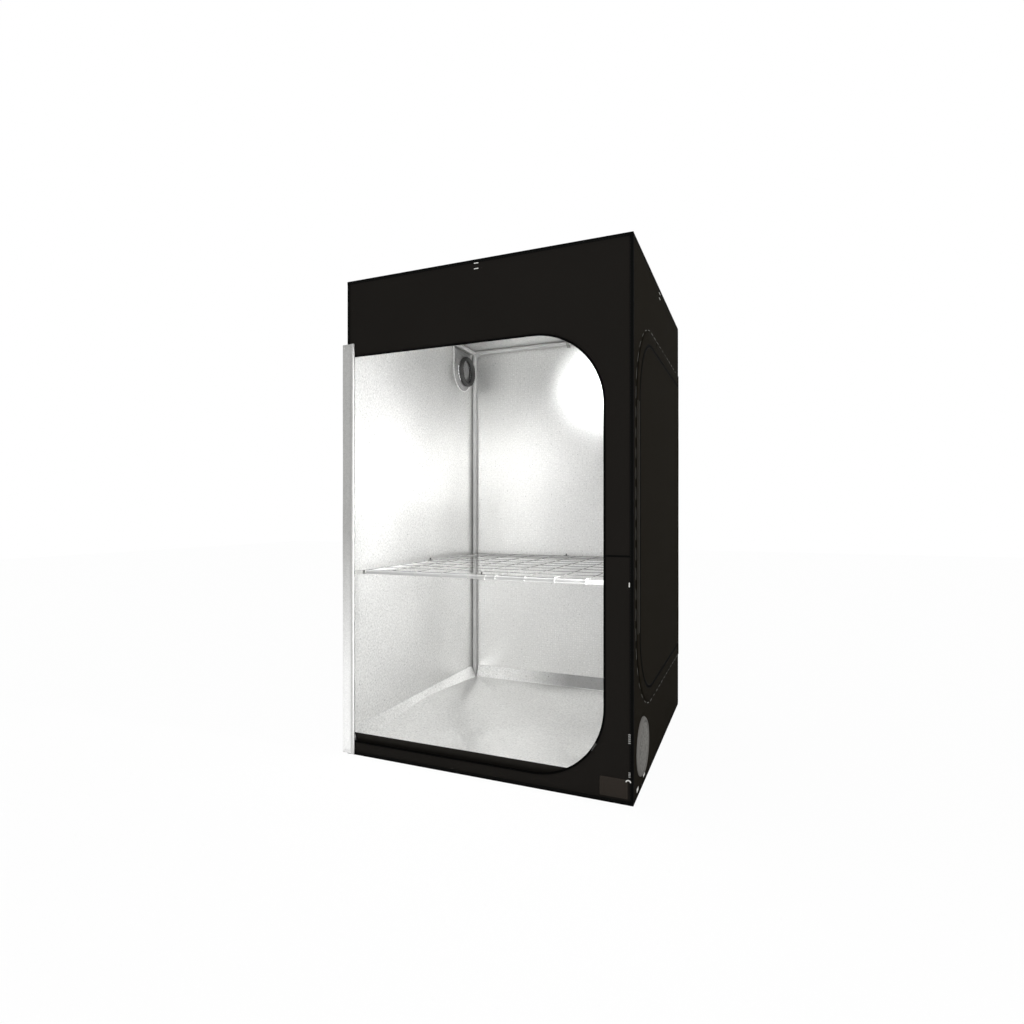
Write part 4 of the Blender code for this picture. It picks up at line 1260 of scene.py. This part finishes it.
def make_duct():
    """Gathered duct sleeve with its elastic cuff, on a sewn patch."""
    centre = middle("duct_sleeve")
    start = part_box("duct_sleeve")[0].x
    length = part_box("duct_sleeve")[1].x - start
    outer_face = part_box("left_wall")[0].x
    low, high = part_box("duct_cuff")
    base, mouth = SLEEVE_BASE, SLEEVE_MOUTH

    def along_duct(a, b, height):
        return (start + height, centre.y + a, centre.z + b)

    def outside(a, b, height):
        return (outer_face - height, centre.y + a, centre.z + b)

    def on_flange(u, v, out):
        return (start + FABRIC + out, centre.y + u, centre.z + v)

    def gather(index, angle):
        share = max(0, index - 2) / SLEEVE_STEPS
        pleats = math.sin(angle * SLEEVE_PLEATS) + 0.4 * math.sin(angle * (SLEEVE_PLEATS + 7) + 1.3)
        return SLEEVE_GATHER * share * pleats

    def pleat(index, angle):
        folds = CUFF_PLEAT * math.sin(angle * CUFF_PLEATS)
        return folds + CUFF_RIPPLE * math.sin(angle * CUFF_PLEATS * 2 + index)

    profile = [(base + 0.004, 0.0018), (base + 0.002, 0.0019), (base, 0.0024)]
    for step in range(1, SLEEVE_STEPS + 1):
        share = step / SLEEVE_STEPS
        radius = base + (mouth - base) * share + SLEEVE_SWELL * math.sin(math.pi * share)
        profile.append((radius, SLEEVE_START + (length - SLEEVE_START) * share))
    sleeve = lathe("duct_sleeve_cloth", profile, SLEEVE_SIDES, [duct_film_painted_shade, bumpy_film], along_duct, gather)
    thicken(sleeve)
    finish_piece(sleeve, "tent", "silver_lining", "duct_sleeve")

    middle_radius = (CUFF_HOLE + CUFF_OUTER) / 2
    thick = (CUFF_OUTER - CUFF_HOLE) / 2
    half = (high.x - low.x) / 2
    ring = []
    for step in range(CUFF_STEPS + 1):
        angle = math.tau * step / CUFF_STEPS
        squared = 0.82 + 0.18 * abs(math.cos(2 * angle))
        radius = middle_radius + (thick - 0.0014) * math.cos(angle) * (1.12 - 0.12 * squared)
        ring.append((radius, low.x - start + half - half * math.sin(angle) * squared))
    cuff = lathe("duct_cuff_elastic", ring, CUFF_SIDES, [elastic], along_duct, pleat)
    face_out(cuff)
    finish_piece(cuff, "tent", "elastic", "duct_cuff")

    top = PORT_PATCH_TOP - centre.z
    line = port_outline(top, PORT_PATCH - PORT_RIM / 2)
    rim = taped(line, PORT_RIM, "duct_patch_rim", rim_film, PORT_RIM_RISE, on_flange)
    line = port_outline(top, PORT_PATCH - PORT_RIM - PORT_SEAM_INSET)
    seam = stitches(line, "duct_stitches", silver_thread, on_flange)
    line, hole = port_outline(top, PORT_PATCH), circle((0, 0), SLEEVE_BASE)
    patch = cloth("duct_patch", line, [hole], on_port, duct_film_painted_shade, bumpy_film, 7.3, 0, PORT_CELL)
    for piece in (rim, seam, patch):
        finish_piece(piece, "tent", "silver_lining")

    collar = lathe("duct_outer_collar", OUTER_COLLAR, COLLAR_SIDES, [duct_film_painted_shade, canvas], outside)
    thicken(collar, rim=1)
    finish_piece(collar, "tent", "black_canvas")


def make_vent():
    """Round vent: a stitched rim and a woven mesh disc in it."""
    centre = middle("vent_ring")
    start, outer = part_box("vent_ring")[0].x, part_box("vent_ring")[1].x
    stand = outer - start
    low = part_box("vent_mesh")[0].x - start
    radius = VENT_BORE - 0.0006
    bore = VENT_BORE + 0.0003

    def on_vent(a, b, height):
        return (start + height, centre.y + a, centre.z + b)

    def dome(a, b, out):
        share = min(1.0, math.hypot(a, b) / radius)
        return on_vent(a, b, low + VENT_MESH + VENT_CROWN * (1 - share * share) + out)

    def on_rim(u, v, out):
        return on_vent(u, v, stand + out)

    profile = [
        (VENT_OUTER, 0), (VENT_OUTER, 0.0022), (VENT_OUTER - 0.0022, 0.0055),
        (VENT_OUTER - 0.006, stand - 0.0012), (VENT_OUTER - VENT_EDGE, stand), (bore + VENT_LIP, stand),
        (bore + 0.0008, stand - 0.001), (bore, stand - 0.003), (bore, 0), (VENT_OUTER, 0),
    ]
    ring = lathe("vent_rim", profile, VENT_SIDES, [vent_cloth], on_vent)
    face_out(ring)
    finish_piece(ring, "tent", "vent_fabric", "vent_ring")

    disc = [(radius * (1 - step / VENT_DISC_STEPS), 0) for step in range(VENT_DISC_STEPS)]
    disc = lathe("vent_mesh_cloth", disc + [(0.0002, 0)], VENT_DISC_SIDES, [vent_mesh_cloth], dome)
    thicken(disc, VENT_MESH, lining=0)
    finish_piece(disc, "tent", "vent_fabric", "vent_mesh")
    strands = []
    count = round(radius / VENT_PITCH)
    for index in range(-count, count + 1):
        place = index * VENT_PITCH
        if abs(place) < radius - 0.004:
            half = math.sqrt(radius * radius - place * place) - 0.001
            steps = max(2, round(half / 0.01))
            line = [-half + 2 * half * step / steps for step in range(steps + 1)]
            strands.append([dome(t, place, VENT_MESH) for t in line])
            strands.append([dome(place, t, 1.5 * VENT_MESH) for t in line])
    weave = tube_piece("vent_mesh_strands", strands, VENT_STRAND, vent_mesh_cloth, sides=0)
    finish_piece(weave, "tent", "vent_fabric")

    seam = circle((0, 0), (VENT_OUTER - VENT_EDGE + bore + VENT_LIP) / 2)
    seam = stitches(seam + seam[:1], "vent_stitches", grey_thread, on_rim)
    finish_piece(seam, "tent", "vent_fabric")


def make_patch():
    """Blank sewn patch with rounded corners and a stitched border."""
    low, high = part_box("blank_patch")
    u, v = (low.x + high.x) / 2, (low.z + high.z) / 2
    half_u, half_v = (high.x - low.x) / 2, (high.z - low.z) / 2
    thickness = high.y - low.y

    def rounded(inset, radius):
        reach = (half_u - inset - radius, half_v - inset - radius)
        return rounded_box((u, v), reach, radius, 5)

    def on_patch(a, b, out):
        return (a, (low.y + high.y) / 2 - out, b)

    def above(a, b, out):
        return on_patch(a, b, thickness / 2 + out)

    patch = cloth(
        "patch_cloth", rounded(0, 0.003), [], on_patch, patch_cloth, patch_cloth, 2.1, 0.0002, 0.008,
        thickness=thickness,
    )
    finish_piece(patch, "tent", "patch_fabric", "blank_patch")
    border = rounded(0.0035, 0.002)
    border = stitches(border + border[:1], "patch_border", patch_thread, above, 0.0028, 0.0012)
    finish_piece(border, "tent", "patch_fabric")


def make_net():
    """Elastic strings on a square pitch, knotted where they cross and looped round the bars."""
    low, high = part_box("trellis_net")
    level = (low.z + high.z) / 2
    radius = (high.z - low.z) / 2
    bar_z = middle("net_bar_front").z
    bar_x = middle("net_bar_right").x
    bar_y = middle("net_bar_rear").y
    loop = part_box("net_bar_front")[1].z - bar_z + radius + 0.0002
    lines = [NET_CELL * (index - (NET_LINES - 1) / 2) for index in range(NET_LINES)]
    stops = [-bar_x] + lines + [bar_x]
    paths = []
    loops = []
    for line in lines:
        along_x = []
        along_y = []
        for a, b in zip(stops, stops[1:]):
            for share in (0, 0.25, 0.5, 0.75):
                height = level - NET_SAG * math.sin(math.pi * share)
                spot = a + (b - a) * share
                along_x.append((spot, line + NET_WOBBLE * math.sin(9 * spot + 5 * line), height))
                along_y.append((line + NET_WOBBLE * math.sin(8 * spot - 4 * line), spot, height))
        along_x.append((bar_x, line, level))
        along_y.append((line, bar_y, level))
        paths += [along_x, along_y]
        for end in (-1, 1):
            ring = []
            for step in range(LOOP_STEPS + 1):
                angle = math.tau * step / LOOP_STEPS
                out, up = loop * math.sin(angle), loop * math.cos(angle)
                ring.append((out, up, LOOP_SHIFT * (step / LOOP_STEPS - 0.5)))
            loops.append([(end * (bar_x + out), line + shift, bar_z + up) for out, up, shift in ring])
            loops.append([(line + shift, end * (bar_y + out), bar_z + up) for out, up, shift in ring])
    strings = tube_piece("net_strings", paths, radius, string_grey, sides=1)
    finish_piece(strings, "net_frame", "net_string", "trellis_net")
    # The loops and knots are paler than the strings: painted highlight.
    finish_piece(tube_piece("net_loops", loops, radius, knot_painted_highlight, sides=1), "net_frame", "net_string")
    knots = bmesh.new()
    spots = [(x, y) for x in lines for y in lines]
    spots += [(x, side * (bar_y - KNOT_INSET)) for x in lines for side in (-1, 1)]
    spots += [(side * (bar_x - KNOT_INSET), y) for y in lines for side in (-1, 1)]
    for index, (x, y) in enumerate(spots):
        place = Matrix.Translation((x, y, level)) @ Matrix.Rotation(KNOT_TURN * index, 4, "Z")
        place = place @ Matrix.Diagonal((*(radius * share for share in KNOT_SHAPE), 1))
        bmesh.ops.create_icosphere(knots, subdivisions=2, radius=1, matrix=place)
    mesh = bpy.data.meshes.new("net_knots")
    knots.to_mesh(mesh)
    knots.free()
    mesh.shade_smooth()
    mesh.materials.append(knot_painted_highlight)
    finish_piece(link("net_knots", mesh), "net_frame", "net_string")


def make_straps():
    """Webbing straps round the middle of each top bar, tacked to the wall."""
    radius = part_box("top_bar_front")[1].z - middle("top_bar_front").z
    reach = radius + STRAP_ROOM
    first = math.asin(min(1, radius / (reach + STRAP_THICKNESS))) - math.radians(4)
    up = Vector((0, 0, 1))
    for label, out in (("front", (0, -1)), ("rear", (0, 1)), ("left", (-1, 0)), ("right", (1, 0))):
        node = "top_bar_strap_" + label
        centre = middle("top_bar_" + label)
        low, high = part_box(node)
        outward = Vector((*out, 0))
        across = Vector((-out[1], out[0], 0))
        path = []
        for step in range(STRAP_STEPS + 1):
            angle = first - (first + math.pi / 2) * step / STRAP_STEPS
            away = -outward * math.cos(angle) + up * math.sin(angle)
            path.append((centre + away * reach, across, away))
        tail = centre + outward * radius - up * (centre.z - low.z - 0.001)
        path.append((tail, across, (outward * -0.4 - up).normalized()))
        width = min(high.x - low.x, high.y - low.y)
        strap = ribbon(path, width, node + "_webbing", strap_grey, STRAP_THICKNESS)
        finish_piece(strap, "tent", "elastic", node)


def make_slider(name, node, body, to_space, turn):
    """Zip slider: a waisted body, a bridge and a pull tab with a hole."""
    cos, sin = math.cos(turn), math.sin(turn)

    def spot(a, b, out):
        b += SLIDER_SHIFT
        return to_space(a * cos - b * sin, a * sin + b * cos, out)

    waist = [(-0.0045, 0.007), (-0.0045, 0.004), (-0.0034, 0.001), (-0.0034, -0.002), (-0.0028, -0.007)]
    waist += [(-a, b) for a, b in reversed(waist)]
    bridge = [(-0.0012, 0.0052), (-0.0012, -0.0052), (0.0012, -0.0052), (0.0012, 0.0052)]
    tab = rounded_box((0, -0.0147), (0.0011, 0.0079), 0.0014, 4)
    hole = circle((0, -0.0205), 0.0011, 16)
    piece = join(name, [
        plate("body", [waist], 0.0, 0.0014, spot),
        plate("bridge", [bridge], 0.0012, 0.0022, spot),
        plate("tab", [tab, hole], 0.0008, 0.0022, spot),
    ])
    finish_piece(piece, body, "slider_metal", node)


def plate(name, loops, low, high, spot):
    """A flat plate between two heights with a small chamfer on its upper edge."""
    shell = triangles_between(loops, loops, [], PLATE_NEARNESS)
    lifted = bmesh.ops.extrude_face_region(shell, geom=shell.faces[:])
    for item in lifted["geom"]:
        if isinstance(item, bmesh.types.BMVert):
            item.co.z = 1
    bmesh.ops.recalc_face_normals(shell, faces=shell.faces)
    upper = [e for e in shell.edges if e.verts[0].co.z == 1 and e.verts[1].co.z == 1]
    rim = [e for e in upper if e.calc_face_angle(0) > 1]
    for vertex in shell.verts:
        vertex.co.z = low if vertex.co.z == 0 else high
    bmesh.ops.bevel(shell, geom=rim, offset=(high - low) * 0.25, segments=1, affect="EDGES")
    for vertex in shell.verts:
        vertex.co = Vector(spot(*vertex.co))
    bmesh.ops.recalc_face_normals(shell, faces=shell.faces)
    mesh = bpy.data.meshes.new(name)
    shell.to_mesh(mesh)
    shell.free()
    mesh.materials.append(slider_metal)
    return link(name, mesh)


def make_tacks():
    """Pale bar tacks and ribbed tabs that show on the outside of the cover."""
    tacks = []

    def bar(u, level, wide, width, material, rise, to_space):
        path = [(u - wide / 2, level), (u + wide / 2, level)]
        tacks.append(taped(path, width, "bar", material, MID + rise, to_space))

    for to_space, u, v, wide, tall in TACKS:
        rows = max(1, round(tall / TACK_PITCH))
        for row in range(rows):
            level = v + (row - (rows - 1) / 2) * TACK_PITCH
            bar(u, level, wide, TACK_WIDTH, pale_thread, TACK_RISE, to_space)
    for u, v, count, wide, pitch in RIBS:
        for index in range(count):
            bar(u, v + index * pitch, wide, pitch * RIB_SHARE, pale_grey, RIB_RISE, on_front)
    finish_piece(join("cover_bar_tacks", tacks), "tent", "patch_fabric")
    u, v, radius = CRESCENT
    first, turn = CRESCENT_TURN
    arc = []
    for step in range(CRESCENT_STEPS + 1):
        angle = math.radians(first + turn * step / CRESCENT_STEPS)
        level = v + radius * math.sin(angle) * CRESCENT_SQUASH
        arc.append(on_front(u + radius * math.cos(angle), level, MID + CRESCENT_RISE))
    hook = tube_piece("cover_hook", [arc], CRESCENT_CORD, pale_thread, sides=3)
    finish_piece(hook, "tent", "clip_plastic")


def dress_metal():
    """Materials of the frame, the net's bars and the small fittings; the last that fits a name holds."""
    looks = (
        (("post_", "top_corner_", "bottom_corner_", "top_bar_", "bottom_bar_"), steel),
        (("net_bar_",), white_steel),
        (("net_clip_",), clip_pale),
        (("net_collar_",), collar_look),
        (("top_bar_strap_",), strap_grey),
        (("front_zip_slider", "side_zip_slider"), slider_metal),
        (("front_zip_track", "side_zip_track"), zip_black),
    )
    for starts, material in looks:
        for name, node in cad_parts.items():
            if name.startswith(starts):
                node.data.materials.clear()
                node.data.materials.append(material)
                node.data.shade_smooth()
                node.data.set_sharp_from_angle(angle=SHARP_ANGLE)


def make_camera():
    """The camera that took the photograph."""
    data = bpy.data.cameras.new("camera")
    data.sensor_width = SENSOR_MM
    data.lens = SENSOR_MM * FOCAL_PIXELS / PICTURE_PIXELS
    camera = link("camera", data)
    camera.location = CAMERA_PLACE
    camera.rotation_euler = CAMERA_TURN
    bpy.context.scene.camera = camera


def make_stage():
    """White floor and surround."""
    corners = [(x * STAGE_HALF, y * STAGE_HALF, STAGE_LEVEL) for x, y in rectangle(-1, 1, -1, 1)]
    floor = mesh_piece("floor", corners, [(0, 1, 2, 3)], [], smooth=False)
    material = bpy.data.materials.new("floor_white")
    material.use_nodes = True
    tree = material.node_tree
    shader = tree.nodes["Principled BSDF"]
    set_sockets(tree, shader, Base_Color=(0.9, 0.9, 0.9), Roughness=0.9, Specular_IOR_Level=0.1)
    glow = add_node(tree, "Emission", Color=(1, 1, 1), Strength=1.0)
    path = add_node(tree, "LightPath")
    share = math_node(tree, "MULTIPLY", path.outputs["Is Camera Ray"], FLOOR_GLOW)
    mix = add_node(tree, "MixShader")
    for socket, value in zip(mix.inputs, (share, shader.outputs[0], glow.outputs[0])):
        fill(tree, socket, value)
    set_sockets(tree, tree.nodes["Material Output"], Surface=mix.outputs[0])
    floor.data.materials.append(material)


def make_world():
    """White background for camera and mirror rays, soft light for the rest."""
    world = bpy.data.worlds.new("studio")
    bpy.context.scene.world = world
    world.use_nodes = True
    tree = world.node_tree
    path = add_node(tree, "LightPath")
    seen = math_node(tree, "MAXIMUM", path.outputs["Is Camera Ray"], path.outputs["Is Glossy Ray"])
    seen = math_node(tree, "MAXIMUM", seen, path.outputs["Is Transmission Ray"])
    level = add_node(tree, "MapRange", Value=seen, To_Min=WORLD_LIGHT, To_Max=1.0)
    back = tree.nodes["Background"]
    set_sockets(tree, back, Color=(1, 1, 1), Strength=level.outputs["Result"])


def lamp(name, kind, place, target, power, **settings):
    """A lamp at one place, turned towards another."""
    data = bpy.data.lights.new(name, kind)
    data.energy = power
    for setting, value in settings.items():
        setattr(data, setting, value)
    piece = link(name, data)
    piece.location = place
    piece.rotation_euler = (Vector(target) - Vector(place)).to_track_quat("-Z", "Y").to_euler()


def make_lamps():
    """The key lamp in front, and the lamps that stand in for the film's own glow inside."""
    for name, place, target, (wide, tall), power, spread in AREA_LAMPS:
        shape = {"shape": "RECTANGLE", "size": wide, "size_y": tall, "spread": math.radians(spread)}
        lamp(name, "AREA", place, target, power, **shape)
    for name, target, power, angle in SPOT_LAMPS:
        shape = {"spot_size": math.radians(angle), "spot_blend": 1.0, "shadow_soft_size": SPOT_RADIUS}
        lamp(name, "SPOT", SPOT_PLACE, target, power, **shape)


make_cover()
make_bindings()
make_wall_seams()
make_wall_zips()
make_front_door()
make_side_door()
make_tray()
make_duct()
make_vent()
make_patch()
make_net()
make_straps()
make_slider("front_slider_metal", "front_zip_slider", "front_slider", on_front_zip, FRONT_SLIDER_TURN)
make_slider("side_slider_metal", "side_zip_slider", "side_slider", on_side_zip, 0)
make_tacks()
dress_metal()
make_camera()
make_stage()
make_world()
make_lamps()

bpy.context.scene.view_settings.view_transform = "Standard"
